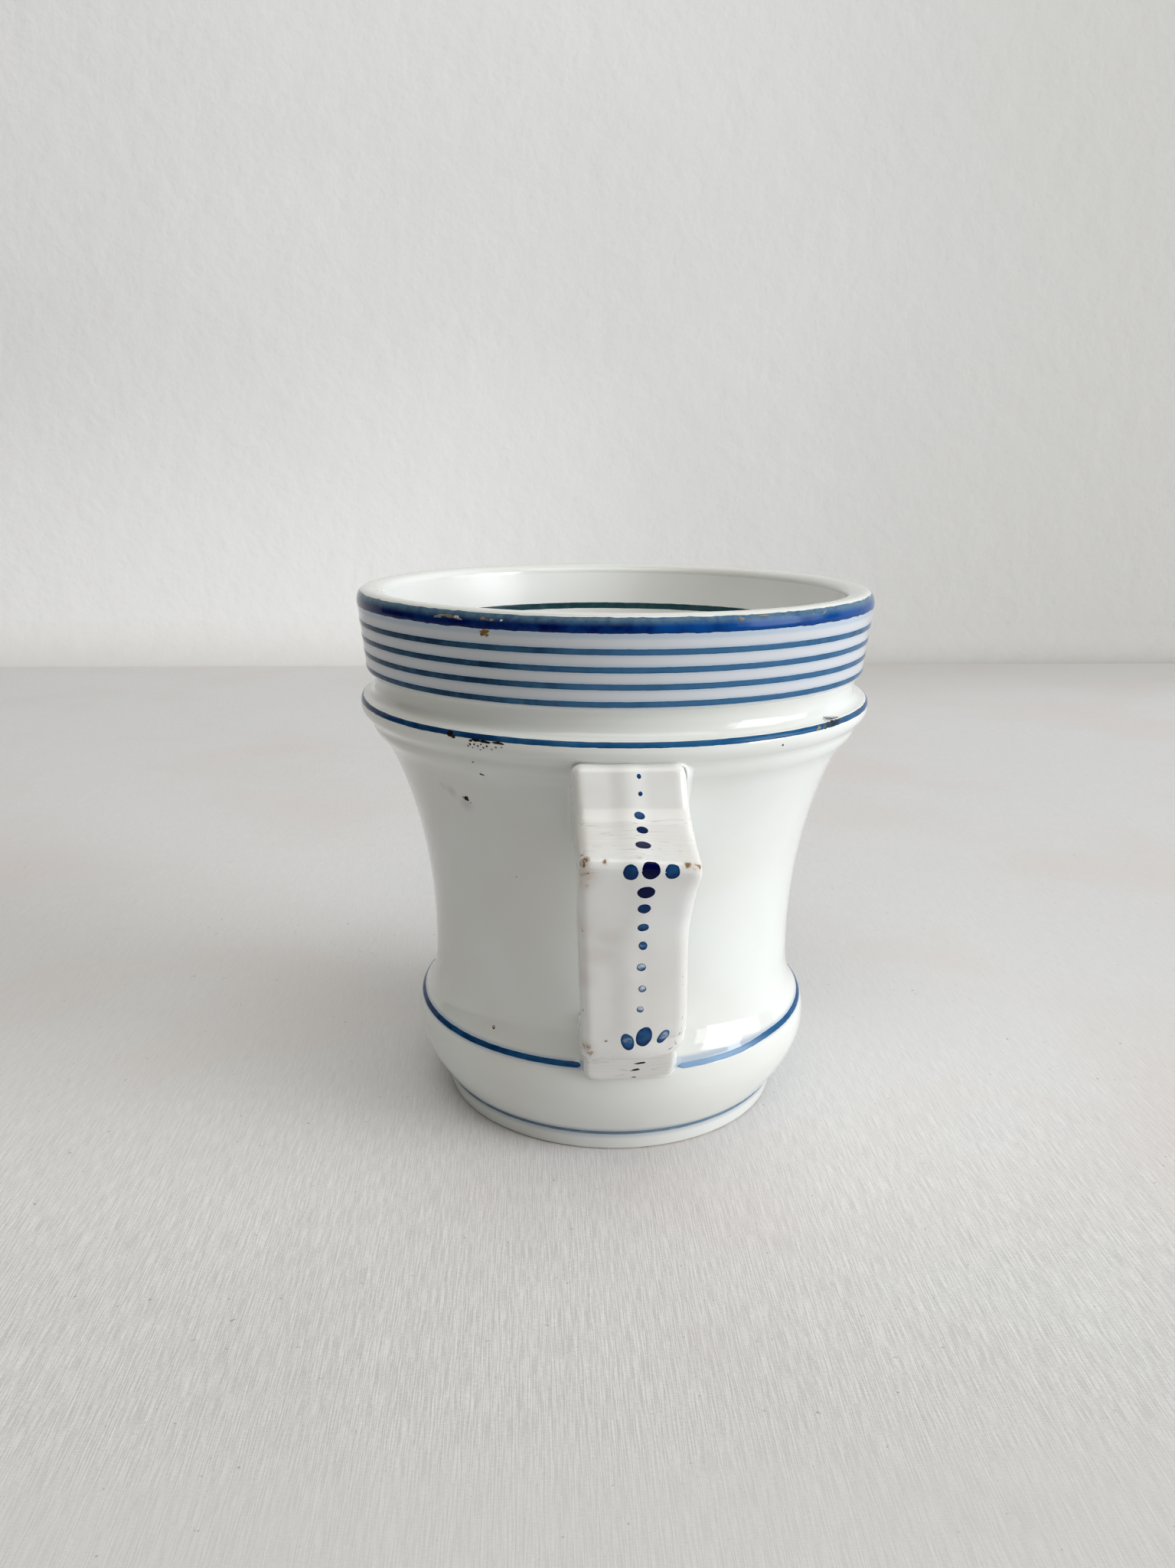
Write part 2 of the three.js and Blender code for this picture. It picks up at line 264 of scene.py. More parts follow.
# %% Heights and radii of the section, in millimetres
FOOT_RADIUS, CREASE_RADIUS, CREASE_Z = 28.9, 29.6, 3.6
BULGE_RADIUS, BULGE_Z = 34.1, 13.5
SHOULDER_RADIUS, SHOULDER_Z = 33.3, 17.2
WAIST_RADIUS, WAIST_Z, FLARE_Z = 30.8, 25.5, 29.0
FLARE_TOP_RADIUS, FLARE_TOP_Z = 37.35, 61.4
GROOVE_RADIUS, GROOVE_Z = 39.35, 64.2
BEAD_RADIUS, BEAD_Z = 40.15, 65.75
RING_FOOT_RADIUS, RING_FOOT_Z = 40.95, 67.0
RING_Z, RING_TOP_Z = 68.8, 70.2
COVE_RADIUS, COVE_Z = 39.55, 72.2
COLLAR_FOOT_RADIUS, COLLAR_Z = 40.25, 74.2
COLLAR_EDGE_RADIUS, COLLAR_EDGE_Z = 40.85, 75.8
RIM_RADIUS, RIM_Z, CREST_RADIUS = 41.9, 85.0, 40.3
WALL, RIM_WALL, FOOT_RING_WIDTH = 4.4, 4.3, 3.8
FLOOR_Z, FLOOR_FLAT_RADIUS, FOOT_RECESS_Z = 6.0, 20.0, 1.8
BEND_STEPS = 9
ROUND_STEPS = 200


# %% Lines made of short bends
def at(radius, height):
    return Vector((radius, height))


def carry_on(line, *points, steps=BEND_STEPS):
    """Carries a line on to the last point, bent towards one point or two points before it."""
    start, end = line[-1], points[-1]
    if len(points) == 1:
        line.append(end)
        return
    if len(points) == 2:
        pulls = [start.lerp(points[0], 2 / 3), end.lerp(points[0], 2 / 3)]
    else:
        pulls = points[:2]
    line.extend(interpolate_bezier(start, *pulls, end, steps + 1)[1:])


def trace_outside():
    line = [at(FOOT_RADIUS - 0.5, 0)]
    carry_on(line, at(FOOT_RADIUS, 0), at(FOOT_RADIUS + 0.1, 0.5), steps=4)
    carry_on(line, at(FOOT_RADIUS + 0.5, 2.2), at(CREASE_RADIUS - 0.1, CREASE_Z - 0.15))
    carry_on(line, at(CREASE_RADIUS, CREASE_Z), at(CREASE_RADIUS + 0.3, CREASE_Z + 0.3), steps=4)
    carry_on(line, at(BULGE_RADIUS, 9.54), at(BULGE_RADIUS, BULGE_Z), steps=16)
    carry_on(line, at(BULGE_RADIUS, 16.275), at(SHOULDER_RADIUS, SHOULDER_Z))
    carry_on(line, at(WAIST_RADIUS, 19.967), at(WAIST_RADIUS, WAIST_Z), steps=14)
    carry_on(line, at(WAIST_RADIUS, FLARE_Z - 1), at(WAIST_RADIUS, FLARE_Z), steps=2)
    carry_on(line, at(WAIST_RADIUS, 42.08), at(33.95, 54.4), at(FLARE_TOP_RADIUS, FLARE_TOP_Z), steps=26)
    carry_on(line, at(37.95, 62.65), at(38.75, 63.55), at(GROOVE_RADIUS, GROOVE_Z))
    carry_on(line, at(39.95, 64.9), at(BEAD_RADIUS, BEAD_Z))
    carry_on(line, at(40.3, 66.4), at(RING_FOOT_RADIUS, RING_FOOT_Z))
    carry_on(line, at(RING_RADIUS, 67.85), at(RING_RADIUS, RING_Z))
    carry_on(line, at(RING_RADIUS, RING_TOP_Z), at(RING_RADIUS - 0.8, RING_TOP_Z))
    carry_on(line, at(COVE_RADIUS, RING_TOP_Z), at(COVE_RADIUS, COVE_Z), steps=12)
    carry_on(line, at(COVE_RADIUS, 73.53), at(COLLAR_FOOT_RADIUS, COLLAR_Z))
    carry_on(line, at(COLLAR_EDGE_RADIUS, COLLAR_Z), at(COLLAR_EDGE_RADIUS, COLLAR_EDGE_Z))
    carry_on(line, at(41.37, 80.4), at(RIM_RADIUS, RIM_Z), steps=6)
    carry_on(line, at(RIM_RADIUS, CREST_Z), at(CREST_RADIUS, CREST_Z), steps=12)
    return line


def trace_inside():
    bore, top_bore = WAIST_RADIUS - WALL, FLARE_TOP_RADIUS - WALL
    line = [at(CREST_RADIUS, CREST_Z)]
    carry_on(line, at(RIM_RADIUS - RIM_WALL, CREST_Z), at(RIM_RADIUS - RIM_WALL, CREST_Z - 1.5), steps=12)
    carry_on(line, at(37.0, 80.8), at(COLLAR_EDGE_RADIUS - WALL, COLLAR_EDGE_Z), steps=6)
    carry_on(line, at(35.54, 66.4), at(top_bore, FLARE_TOP_Z), steps=14)
    carry_on(line, at(29.517, 54.506), at(bore, 42.08), at(bore, FLARE_Z), steps=26)
    carry_on(line, at(bore, WAIST_Z + 1), at(bore, WAIST_Z), steps=2)
    carry_on(line, at(28.9, 15.35), at(28.9, BULGE_Z), steps=12)
    carry_on(line, at(28.9, FLOOR_Z), at(FLOOR_FLAT_RADIUS, FLOOR_Z), steps=16)
    carry_on(line, at(10, FLOOR_Z - 0.05), at(0, FLOOR_Z), steps=8)
    return line


outside = trace_outside()
inside = trace_inside()
print("section:", len(outside), "points outside and", len(inside), "inside")


# %% Places on the section, measured along it
def measure(line):
    lengths = [0.0]
    for start, end in zip(line, line[1:]):
        lengths.append(lengths[-1] + (end - start).length)
    return lengths


def along_section(section, lengths, distance):
    """The point at a distance along a section, and the direction square to it, to the left of its run."""
    index = next((i for i, length in enumerate(lengths) if length >= distance), len(lengths) - 1)
    index = max(index, 1)
    span = lengths[index] - lengths[index - 1]
    share = (distance - lengths[index - 1]) / span
    point = section[index - 1].lerp(section[index], share)
    before = section[max(index - 2, 0)]
    after = section[min(index + 1, len(section) - 1)]
    run = (after - before).normalized()
    return point, Vector((run.y, -run.x))


def distance_at(section, lengths, height):
    """How far along a section a height is first reached."""
    for index in range(1, len(section)):
        low, high = sorted((section[index - 1].y, section[index].y))
        if low <= height <= high and high > low:
            share = abs(height - section[index - 1].y) / (high - low)
            return lengths[index - 1] + share * (lengths[index] - lengths[index - 1])
    raise ValueError(f"no height {height}")


outside_lengths = measure(outside)
inside_lengths = measure(inside)


def radius_at(height):
    distance = distance_at(outside, outside_lengths, height)
    return along_section(outside, outside_lengths, distance)[0].x


# %% The hand in the making
WOBBLE = 0.05
WOBBLE_SPAN = 26


def wobble(angle, height):
    """The few hundredths of a millimetre by which a fired wall strays from a true circle."""
    place = Vector((math.cos(angle) * 42, math.sin(angle) * 42, height)) / WOBBLE_SPAN
    return WOBBLE * noise.noise(place)


def on_cup(radius, angle, height):
    """A place on the cup in metres. Angle 0 points to the handle and grows to the photo's right."""
    full = (radius + wobble(angle, height) * min(radius / FOOT_RADIUS, 1)) * MM
    return Vector((full * math.sin(angle), AXIS_Y - full * math.cos(angle), height * MM))


# %% Turn the body
def turn_body():
    ring_bore = FOOT_RADIUS - FOOT_RING_WIDTH
    underside = [at(0, FOOT_RECESS_Z)]
    carry_on(underside, at(ring_bore - 2.2, FOOT_RECESS_Z), steps=1)
    carry_on(underside, at(ring_bore - 1.0, FOOT_RECESS_Z), at(ring_bore - 0.5, 0.8), steps=5)
    carry_on(underside, at(ring_bore - 0.2, 0), at(ring_bore + 0.4, 0), steps=5)
    section = underside + outside + inside[1:]
    bm = bmesh.new()
    verts = [bm.verts.new((point.x, 0, point.y)) for point in section]
    edges = [bm.edges.new(pair) for pair in zip(verts, verts[1:])]
    bmesh.ops.spin(
        bm, geom=verts + edges, cent=(0, 0, 0), axis=(0, 0, 1),
        angle=2 * math.pi, steps=ROUND_STEPS, use_merge=True,
    )
    bmesh.ops.remove_doubles(bm, verts=bm.verts, dist=0.001)
    for vert in bm.verts:
        radius = math.hypot(vert.co.x, vert.co.y)
        vert.co = on_cup(radius, math.atan2(vert.co.x, -vert.co.y), vert.co.z)
    return bm


cup_body = finish_piece(turn_body(), "porcelain_body", body_glaze, ["cup_body"])

# %% [markdown]
# ## The unglazed foot and the worn inside
# The ring that the cup stands on was wiped clean before the firing, or it would have stuck to the kiln shelf.
# It shows bare biscuit: matt, slightly warm and grey with handling.
# It is a second material on the lowest faces.
# Spoons have dulled the glaze of the hollow, so that is a third one, whose reflections are softer. Its white
# is painted lighter than the outside's, which is painted light, and greyer on the left, which is painted
# shade.

# %% Bare biscuit on the foot
FOOT_WIPED_Z = 0.35


def bare_biscuit():
    material, shader = new_material("bare_biscuit_porcelain")
    position = add(material, "TexCoord").outputs["Object"]
    darkening = between(material, spots(material, position, 2.5, 6, 0.65), 0.42, 0.7)
    link(material, mix(material, darkening, paint("#dedad0"), paint("#b3aa9a")), shader.inputs["Base Color"])
    shader.inputs["Roughness"].default_value = 0.75
    grain = spots(material, position, 0.4, 4, 0.6)
    link(material, relief(material, grain, 0.03, 0.6), shader.inputs["Normal"])
    return material


cup_body.data.materials.append(bare_biscuit())
wiped = [face for face in cup_body.data.polygons if face.center.z < FOOT_WIPED_Z * MM]
for face in wiped:
    face.material_index = 1
print(len(wiped), "faces of bare foot")

# %% Worn glaze in the hollow
def painted_shade_left(material, position, colour):
    """The hollow's left side is painted greyer: a painted shade, darker towards the left."""
    across = add(material, "SeparateXYZ", {0: position}).outputs["X"]
    return mix(material, between(material, across, 0.004, -0.028, 0, 0.55), colour, paint("#d9dbd8"))


# The hollow's glaze is a lighter copy of the body's white, which is painted light, with a painted shade on
# its left.
cup_body.data.materials.append(
    glazed_porcelain("worn_glaze_inside_with_painted_light", "#f8f9f7", "#f4f5f2", painted_shade_left, (0.3, 0.33))
)
hollow = [
    face for face in cup_body.data.polygons
    if FLOOR_Z - 1 < face.center.z / MM < CREST_Z - 1.5
    and math.hypot(face.center.x, face.center.y - AXIS_Y) / MM < radius_at(face.center.z / MM) - WALL / 2
]
for face in hollow:
    face.material_index = 2
print(len(hollow), "faces of worn glaze")

# %% [markdown]
# ## The strap handle
# The strap came out of its own plaster mould: a flat bar with soft edges and a low rib down the middle,
# bent sharply at the elbow, whose face turns away to the right down the leg. It is a loft. Two lines are
# drawn in side view, one down the face and one down the back, and sections are hung between them from the
# root at the top to the heel at the bottom. A grid is rolled into a tube over those sections, which keeps
# every face a tidy quad.

# %% Sizes of the strap, in millimetres
ROOT_Z, HEEL_UNDER_Z = 67.0, 21.9
FACE_EDGE, BACK_EDGE = 1.45, 1.1
LEG_EDGE = 2.6
RIB_HEIGHT, LEG_RIB_HEIGHT, RIB_HALF_WIDTH = 0.3, 0.14, 2.9
CAMBER_FROM, CAMBER_REACH = -1.0, 8
ELBOW_SKEW = 0.055
ROOT_CORNER, HEEL_CORNER_LEFT, HEEL_CORNER_RIGHT = 1.5, 1.2, 2.4
HEEL_BOW_LEFT, HEEL_BOW_RIGHT, HEEL_BOW_REACH = 0.4, 0.9, 7.0

# The strap was pulled a little out of true by hand: its left and right edge at each height
STRAP_EDGES = [
    (67.0, -8.7, 7.15), (62.7, -8.35, 7.45), (59.0, -7.9, 7.95), (57.0, -7.9, 8.05), (54.5, -7.95, 7.65),
    (48.5, -7.9, 7.4), (45.0, -7.8, 7.4), (40.0, -7.6, 7.65), (35.0, -7.4, 7.95), (29.0, -7.05, 8.3),
    (21.0, -6.95, 8.45),
]

# The low rib wanders too: its middle at each height
RIB_LINE = [(67.0, -1.0), (58.0, -0.6), (50.0, 1.0), (43.0, -1.8), (38.0, -0.8), (21.0, 0.0)]

# And the face falls away to the right, most of all half way down the leg
CAMBER_LINE = [(60.0, 0.0), (54.0, 1.1), (50.0, 1.2), (43.0, 2.5), (36.0, 2.2), (26.0, 1.7), (21.0, 0.5)]

# Each leg is one stretch of the strap: its face line, its back line and its number of sections
STRAP_LEGS = [
    ([at(40.3, 67.0), at(41.3, 67.0), at(41.95, 66.3)], [at(38.9, 67.0), at(38.8, 66.0)], 5),
    ([at(42.45, 65.2), at(42.85, 63.4), at(43.7, 61.6)], [at(36.6, 61.5), at(33.6, 55.2)], 12),
    ([at(44.5, 60.0), at(46.3, 59.25), at(49.2, 58.45)], [at(33.8, 53.6), at(40.5, 52.95)], 14),
    ([at(51.6, 58.1), at(53.6, 57.85)], [at(42.7, 52.8), at(44.8, 52.75)], 9),
    ([at(54.8, 57.7), at(54.7, 56.4)], [at(47.9, 52.6), at(46.8, 50.4)], 10),
    ([at(53.9, 54.4), at(50.5, 48.0), at(47.6, 40.2)], [at(44.4, 45.0), at(42.4, 40.2)], 26),
    ([at(45.3, 34.2), at(44.3, 30.4), at(43.0, 27.4)], [at(40.0, 33.5), at(37.6, 27.9)], 18),
    ([at(42.3, 25.8), at(41.8, 24.5)], [at(36.4, 24.6), at(29.8, 24.4)], 10),
    ([at(41.4, 23.5), at(40.7, 22.5)], [at(29.6, 22.4), at(29.4, 19.6)], 6),
    ([at(40.3, 22.0), at(39.0, 21.8)], [at(29.4, 18.6), at(29.4, 18.0)], 5),
]


# %% Widths and rounded ends of the strap
def ramp(value, low, high, first, last):
    share = min(max((value - low) / (high - low), 0), 1)
    return first + (last - first) * share


def read_off(table, height):
    for (top, *upper), (bottom, *lower) in zip(table, table[1:]):
        if height >= bottom:
            return [ramp(height, bottom, top, low, high) for low, high in zip(lower, upper)]
    return table[-1][1:]


def heel_bow(x):
    """How far the strap's lower end and the pad rise towards their sides, as they wrap the round bulge."""
    return (HEEL_BOW_RIGHT if x > 0 else HEEL_BOW_LEFT) * (x / HEEL_BOW_REACH) ** 2


def drawn_in(distance, corner):
    """How far a round corner draws the side in, at a distance from the end."""
    if distance >= corner:
        return 0
    return corner - math.sqrt(max(corner ** 2 - (corner - max(distance, 0)) ** 2, 0))


def side_drawn_in(height, side):
    heel_corner = HEEL_CORNER_RIGHT if side > 0 else HEEL_CORNER_LEFT
    return drawn_in(ROOT_Z - height, ROOT_CORNER) + drawn_in(height - HEEL_UNDER_Z, heel_corner)


# %% One section of the strap
FACE_CELLS, EDGE_CELLS, SIDE_CELLS, BACK_CELLS = 24, 5, 4, 10


def quarter(centre, radii, start):
    """A quarter round of a section, clockwise from an angle, without its last point."""
    for step in range(EDGE_CELLS):
        angle = start - math.pi / 2 * step / EDGE_CELLS
        yield centre[0] + radii * math.cos(angle), centre[1] + radii * math.sin(angle)


def straight(start, end, cells):
    for step in range(cells):
        share = step / cells
        yield start[0] + (end[0] - start[0]) * share, start[1] + (end[1] - start[1]) * share


def bar_section(left, right, depth, left_edge, right_edge, back_edge, rib=0, rib_middle=0, camber=0):
    """Points round a bar: x runs across it, and y from 0 on the face down to minus its depth on the back.
    A rib stands up on the face, and the camber lets the face fall away towards its right edge."""
    points = []
    for x, y in straight((left + left_edge, 0), (right - right_edge, 0), FACE_CELLS):
        rise = rib * math.cos(math.pi / 2 * min(abs(x - rib_middle) / RIB_HALF_WIDTH, 1)) ** 2
        fall = camber * (max(x - CAMBER_FROM, 0) / CAMBER_REACH) ** 2
        points.append((x, y + rise - fall))
    drop = camber * ((right - right_edge - CAMBER_FROM) / CAMBER_REACH) ** 2
    points += quarter((right - right_edge, -right_edge - drop), right_edge, math.pi / 2)
    points += straight((right, -right_edge - drop), (right, back_edge - depth), SIDE_CELLS)
    points += quarter((right - back_edge, back_edge - depth), back_edge, 0)
    points += straight((right - back_edge, -depth), (left + back_edge, -depth), BACK_CELLS)
    points += quarter((left + back_edge, back_edge - depth), back_edge, -math.pi / 2)
    points += straight((left, back_edge - depth), (left, -left_edge), SIDE_CELLS)
    points += quarter((left + left_edge, -left_edge), left_edge, -math.pi)
    return points


def hang_section(face, back, section, bow=0, skew=0):
    """Puts a section between a face point and a back point of the side view.
    Its sides can be bowed up, and skewed: higher on the left and lower on the right."""
    inward = (back - face).normalized()
    ring = []
    for x, y in section:
        side_view = face - inward * y
        height = side_view.y + bow * heel_bow(x) - skew * x
        ring.append(Vector((x * MM, AXIS_Y - side_view.x * MM, height * MM)))
    return ring


# %% Rolling a grid over the sections
def roll(rings, close_ends=False, shares=None, row_shares=None):
    """A grid whose rows lie on the rings, rolled shut into a tube, with its ends closed if asked.
    Shares go from 0 to 1 round a ring and are stored on the mesh as "across", row shares as "faded"."""
    around, rows = len(rings[0]), len(rings)
    bm = bmesh.new()
    across = bm.verts.layers.float.new("across")
    faded = bm.verts.layers.float.new("faded")
    bmesh.ops.create_grid(bm, x_segments=around, y_segments=rows - 1, size=0.5)
    for vert in bm.verts:
        column = round((vert.co.x + 0.5) * around) % around
        row = round((vert.co.y + 0.5) * (rows - 1))
        vert.co = rings[row][column]
        vert[across] = shares[column] if shares else 0
        vert[faded] = row_shares[row] if row_shares else 0
    bmesh.ops.remove_doubles(bm, verts=bm.verts, dist=1e-8)
    if close_ends:
        bmesh.ops.holes_fill(bm, edges=bm.edges, sides=0)
    return bm


def resample(line, count):
    lengths = measure(line)
    return [
        along_section(line, lengths, lengths[-1] * step / count)[0]
        for step in range(count)
    ]


def stations_along(face_start, back_start, legs):
    """Pairs of a face point and a back point, spread evenly along each leg."""
    stations = []
    for face_points, back_points, count in legs:
        face_line, back_line = [face_start], [back_start]
        carry_on(face_line, *face_points, steps=24)
        carry_on(back_line, *back_points, steps=24)
        stations += zip(resample(face_line, count), resample(back_line, count))
        face_start, back_start = face_points[-1], back_points[-1]
    return stations + [(face_start, back_start)]


def strap_rings():
    rings = []
    for face, back in stations_along(at(39.9, 67.0), at(39.0, 67.0), STRAP_LEGS):
        left, right = read_off(STRAP_EDGES, face.y)
        depth = (back - face).length
        left_edge = min(FACE_EDGE, depth * 0.4)
        right_edge = min(ramp(face.y, 52, 57.5, LEG_EDGE, FACE_EDGE), depth * 0.4)
        back_edge = min(BACK_EDGE, depth * 0.4)
        left += side_drawn_in(face.y, -1)
        right -= side_drawn_in(face.y, 1)
        rib = ramp(face.y, 24, 30, 0, ramp(face.y, 54, 59, LEG_RIB_HEIGHT, RIB_HEIGHT))
        camber = read_off(CAMBER_LINE, min(face.y, 60))[0]
        section = bar_section(
            left, right, depth, left_edge, right_edge, back_edge,
            rib, read_off(RIB_LINE, face.y)[0], min(camber, depth * 0.2),
        )
        skew = ELBOW_SKEW * ramp(face.x, 44, 54, 0, 1) * ramp(face.y, 48, 55, 0, 1)
        rings.append(hang_section(face, back, section, ramp(face.y, 23, 27, 1, 0), skew))
    return rings


# %% [markdown]
# ### The finish of the strap
# The strap has the same glaze, a little thinner and creamier. It has worn brown along the elbow and at its
# left edge, where fingers and other cups have rubbed it, and faint lines of the wiping sponge cross the arm.
# The stains are balls of colour round named places, broken up by a fine pattern.

# %% Stains on the strap: place across, reach and height in millimetres, then radius and depth of colour
STRAP_STAINS = [
    (-7.6, 53.0, 58.1, 0.8, 1.0),
    (-7.2, 54.2, 57.4, 1.35, 1.0),
    (-7.0, 54.3, 56.0, 1.9, 0.6),
    (-7.2, 53.7, 53.8, 1.9, 0.4),
    (-4.6, 54.4, 57.6, 0.75, 0.9),
    (-0.3, 53.8, 57.8, 0.8, 0.5),
    (6.0, 54.3, 57.1, 1.0, 0.9),
    (7.5, 54.2, 56.8, 1.4, 0.95),
    (-6.5, 41.9, 25.0, 1.6, 0.75),
    (-5.8, 41.4, 23.8, 1.6, 0.6),
    (8.1, 42.2, 25.6, 0.8, 0.45),
    (-4.0, 40.6, 22.1, 1.3, 0.4),
    (-1.4, 40.6, 21.9, 1.2, 0.3),
    (1.4, 40.6, 21.9, 1.2, 0.3),
    (4.2, 40.6, 22.1, 1.3, 0.35),
    (6.8, 40.8, 22.6, 1.2, 0.5),
]
WARM_PATCHES = [
    (-3.9, 49.7, 45.4, 2.6, 0.3),
    (-5.4, 48.5, 42.3, 2.8, 0.3),
    (-7.2, 47.0, 38.0, 3.0, 0.3),
    (-7.4, 50.0, 47.0, 3.0, 0.25),
    (-6.9, 54.0, 55.6, 2.6, 0.4),
    (-6.2, 41.8, 25.4, 2.4, 0.4),
]

# The sponge left faint lines over the end of the arm and over the pad, in millimetres of height
ARM_LINES_Z, PAD_LINES_Z = (57.6, 60.4), (15.0, 20.0)


# %% Glazed and worn strap
def gather(material, position, places):
    total = 0
    for across, reach, height, radius, strength in places:
        place = (across * MM, AXIS_Y - reach * MM, height * MM)
        ball = maths(material, "MULTIPLY", stain(material, position, place, radius), strength)
        total = maths(material, "MAXIMUM", total, ball)
    return total


def sponge_lines(material, position):
    """Hair-thin lines across the strap: a noise drawn out sideways, kept between the named heights."""
    drawn = add(material, "VectorMath", {
        0: position, 1: (1 / (14 * MM), 1 / (0.8 * MM), 1 / (0.8 * MM)),
    }, operation="MULTIPLY").outputs[0]
    noise_value = add(material, "TexNoise", {"Vector": drawn, "Scale": 1.0, "Detail": 1.0}).outputs["Fac"]
    off_middle = maths(material, "ABSOLUTE", maths(material, "SUBTRACT", noise_value, 0.5))
    line = between(material, off_middle, 0.02, 0)
    height = add(material, "SeparateXYZ", {0: position}).outputs["Z"]
    total = 0
    for low, high in (ARM_LINES_Z, PAD_LINES_Z):
        inside_band = maths(
            material, "MULTIPLY",
            between(material, height, low * MM, (low + 0.3) * MM),
            between(material, height, high * MM, (high - 0.3) * MM),
        )
        total = maths(material, "ADD", total, inside_band)
    return maths(material, "MULTIPLY", line, total)


def worn_porcelain():
    material, shader = new_material("glazed_porcelain_strap")
    position = add(material, "TexCoord").outputs["Object"]
    patches = between(material, spots(material, position, 12), 0.35, 0.65)
    glaze = mix(material, patches, paint("#ebebe9"), paint("#e5e3de"))
    soft = maths(material, "MULTIPLY", gather(material, position, WARM_PATCHES), spots(material, position, 5))
    glaze = mix(material, soft, glaze, paint("#b39a86"))
    lines = maths(material, "MULTIPLY", sponge_lines(material, position), 0.4)
    glaze = mix(material, lines, glaze, paint("#a9a8a4"))
    crumbs = between(material, spots(material, position, 0.75, 5, 0.7), 0.38, 0.62)
    rubbed = gather(material, position, STRAP_STAINS)
    glaze = mix(material, maths(material, "MULTIPLY", rubbed, 0.42), glaze, paint("#c3a37c"))
    worn = maths(material, "MULTIPLY", rubbed, crumbs, True)
    brown = mix(material, spots(material, position, 0.4, 3), paint("#94703f"), paint("#54371f"))
    colour = mix(material, between(material, worn, 0.1, 0.65), glaze, brown)
    waves = spots(material, position, 9, 1, 0.4)
    peel = spots(material, position, 1.4, 2, 0.5)
    slow = relief(material, waves, 0.35, 0.5)
    shader.inputs["IOR"].default_value = GLASS_IOR
    link(material, colour, shader.inputs["Base Color"])
    link(material, between(material, worn, 0, 0.6, 0.12, 0.5), shader.inputs["Roughness"])
    link(material, relief(material, peel, 0.015, 0.6, slow), shader.inputs["Normal"])
    return material


strap_glaze = worn_porcelain()
strap = finish_piece(
    roll(strap_rings(), close_ends=True), "strap_handle", strap_glaze, ["handle"],
)

# %% [markdown]
# ## The pad under the heel
# A small cushion of clay carries the strap's lower end. It is narrower than the strap, leans with the bulge
# and has soft lower corners. The same loft makes it: four legs from the hidden top down to the toe.

# %% The heel pad
PAD_LEFT, PAD_RIGHT, PAD_TOE_Z = -6.4, 7.7, 15.5
PAD_CORNER_LEFT, PAD_CORNER_RIGHT, PAD_EDGE = 2.0, 2.4, 0.9
PAD_LEGS = [
    ([at(35.9, 21.2), at(35.75, 20.2)], [at(30.0, 21.5), at(30.0, 20.4)], 4),
    ([at(35.5, 18.4), at(35.15, 16.9)], [at(30.0, 18.6), at(30.0, 17.0)], 9),
    ([at(35.0, 16.1), at(34.6, 15.75)], [at(30.0, 16.2), at(30.0, 15.8)], 5),
    ([at(34.3, 15.5), at(33.6, 15.5)], [at(30.0, 15.6), at(30.0, 15.5)], 4),
]


def pad_rings():
    rings = []
    for face, back in stations_along(at(35.9, 21.9), at(30.0, 22.4), PAD_LEGS):
        left = PAD_LEFT + drawn_in(face.y - PAD_TOE_Z, PAD_CORNER_LEFT) * 0.8
        right = PAD_RIGHT - drawn_in(face.y - PAD_TOE_Z, PAD_CORNER_RIGHT) * 0.8
        section = bar_section(left, right, (back - face).length, PAD_EDGE, PAD_EDGE, PAD_EDGE)
        rings.append(hang_section(face, back, section, 0.8))
    return rings


pad = finish_piece(
    roll(pad_rings(), close_ends=True), "heel_cushion", strap_glaze, ["heel_pad"],
)

# %% [markdown]
# ## The clay joints
# Liquid clay holds the strap on. It squeezed out and was wiped to a soft hollow fillet round each seat.
# A fillet is a small ring-shaped roll: its outline follows the seat on the curved wall,
# and its section is a hollow quarter round that ends just under both surfaces.

# %% Fillets round the seats
SEAT_STEP = 0.7
FILLET_STEPS, FILLET_SINK, FILLET_ROOT = 6, 0.04, 0.35


def seat_outline(left, right, low, high, corner):
    """Points and outward directions round a seat, as a round-cornered box in width and height."""
    corners = [
        (right - corner, high - corner, 0), (left + corner, high - corner, 1),
        (left + corner, low + corner, 2), (right - corner, low + corner, 3),
    ]
    steps = []
    for x, z, turn in corners:
        for step in range(EDGE_CELLS + 1):
            angle = (turn + step / EDGE_CELLS) * math.pi / 2
            outward = Vector((math.cos(angle), math.sin(angle)))
            steps.append((Vector((x, z)) + outward * corner, outward))
    filled = []
    for (start, first), (end, last) in zip(steps, steps[1:] + steps[:1]):
        count = max(round((end - start).length / SEAT_STEP), 1)
        for step in range(count):
            share = step / count
            filled.append((start.lerp(end, share), first.lerp(last, share).normalized()))
    return filled


def wall_point(x, height, lift):
    """A place over the cup's outside at a sideways distance and a height, lifted off the wall."""
    distance = distance_at(outside, outside_lengths, height)
    point, normal = along_section(outside, outside_lengths, distance)
    lifted = point + normal * lift
    angle = math.asin(x / lifted.x)
    return on_cup(lifted.x, angle, lifted.y)


def fillet(outline, spread):
    """A hollow quarter round along a seat, closed under the surfaces that it joins."""
    rings = []
    for place, outward in outline:
        size = spread(place, outward)
        section = []
        for step in range(FILLET_STEPS + 1):
            angle = math.pi / 2 * step / FILLET_STEPS
            section.append((
                size * (1 - math.cos(angle)) - FILLET_SINK, size * (1 - math.sin(angle)) - FILLET_SINK,
            ))
        section += [(size * 0.9, -FILLET_ROOT), (-FILLET_ROOT, -FILLET_ROOT), (-FILLET_ROOT, size)]
        rings.append([
            wall_point(*(place + outward * out), lift)
            for out, lift in section
        ])
    return roll(rings + rings[:1])


def upper_spread(place, outward):
    if outward.y > 0.5:
        return 0.35
    return ramp(outward.y, 0.5, -0.5, 0.8, 1.5)


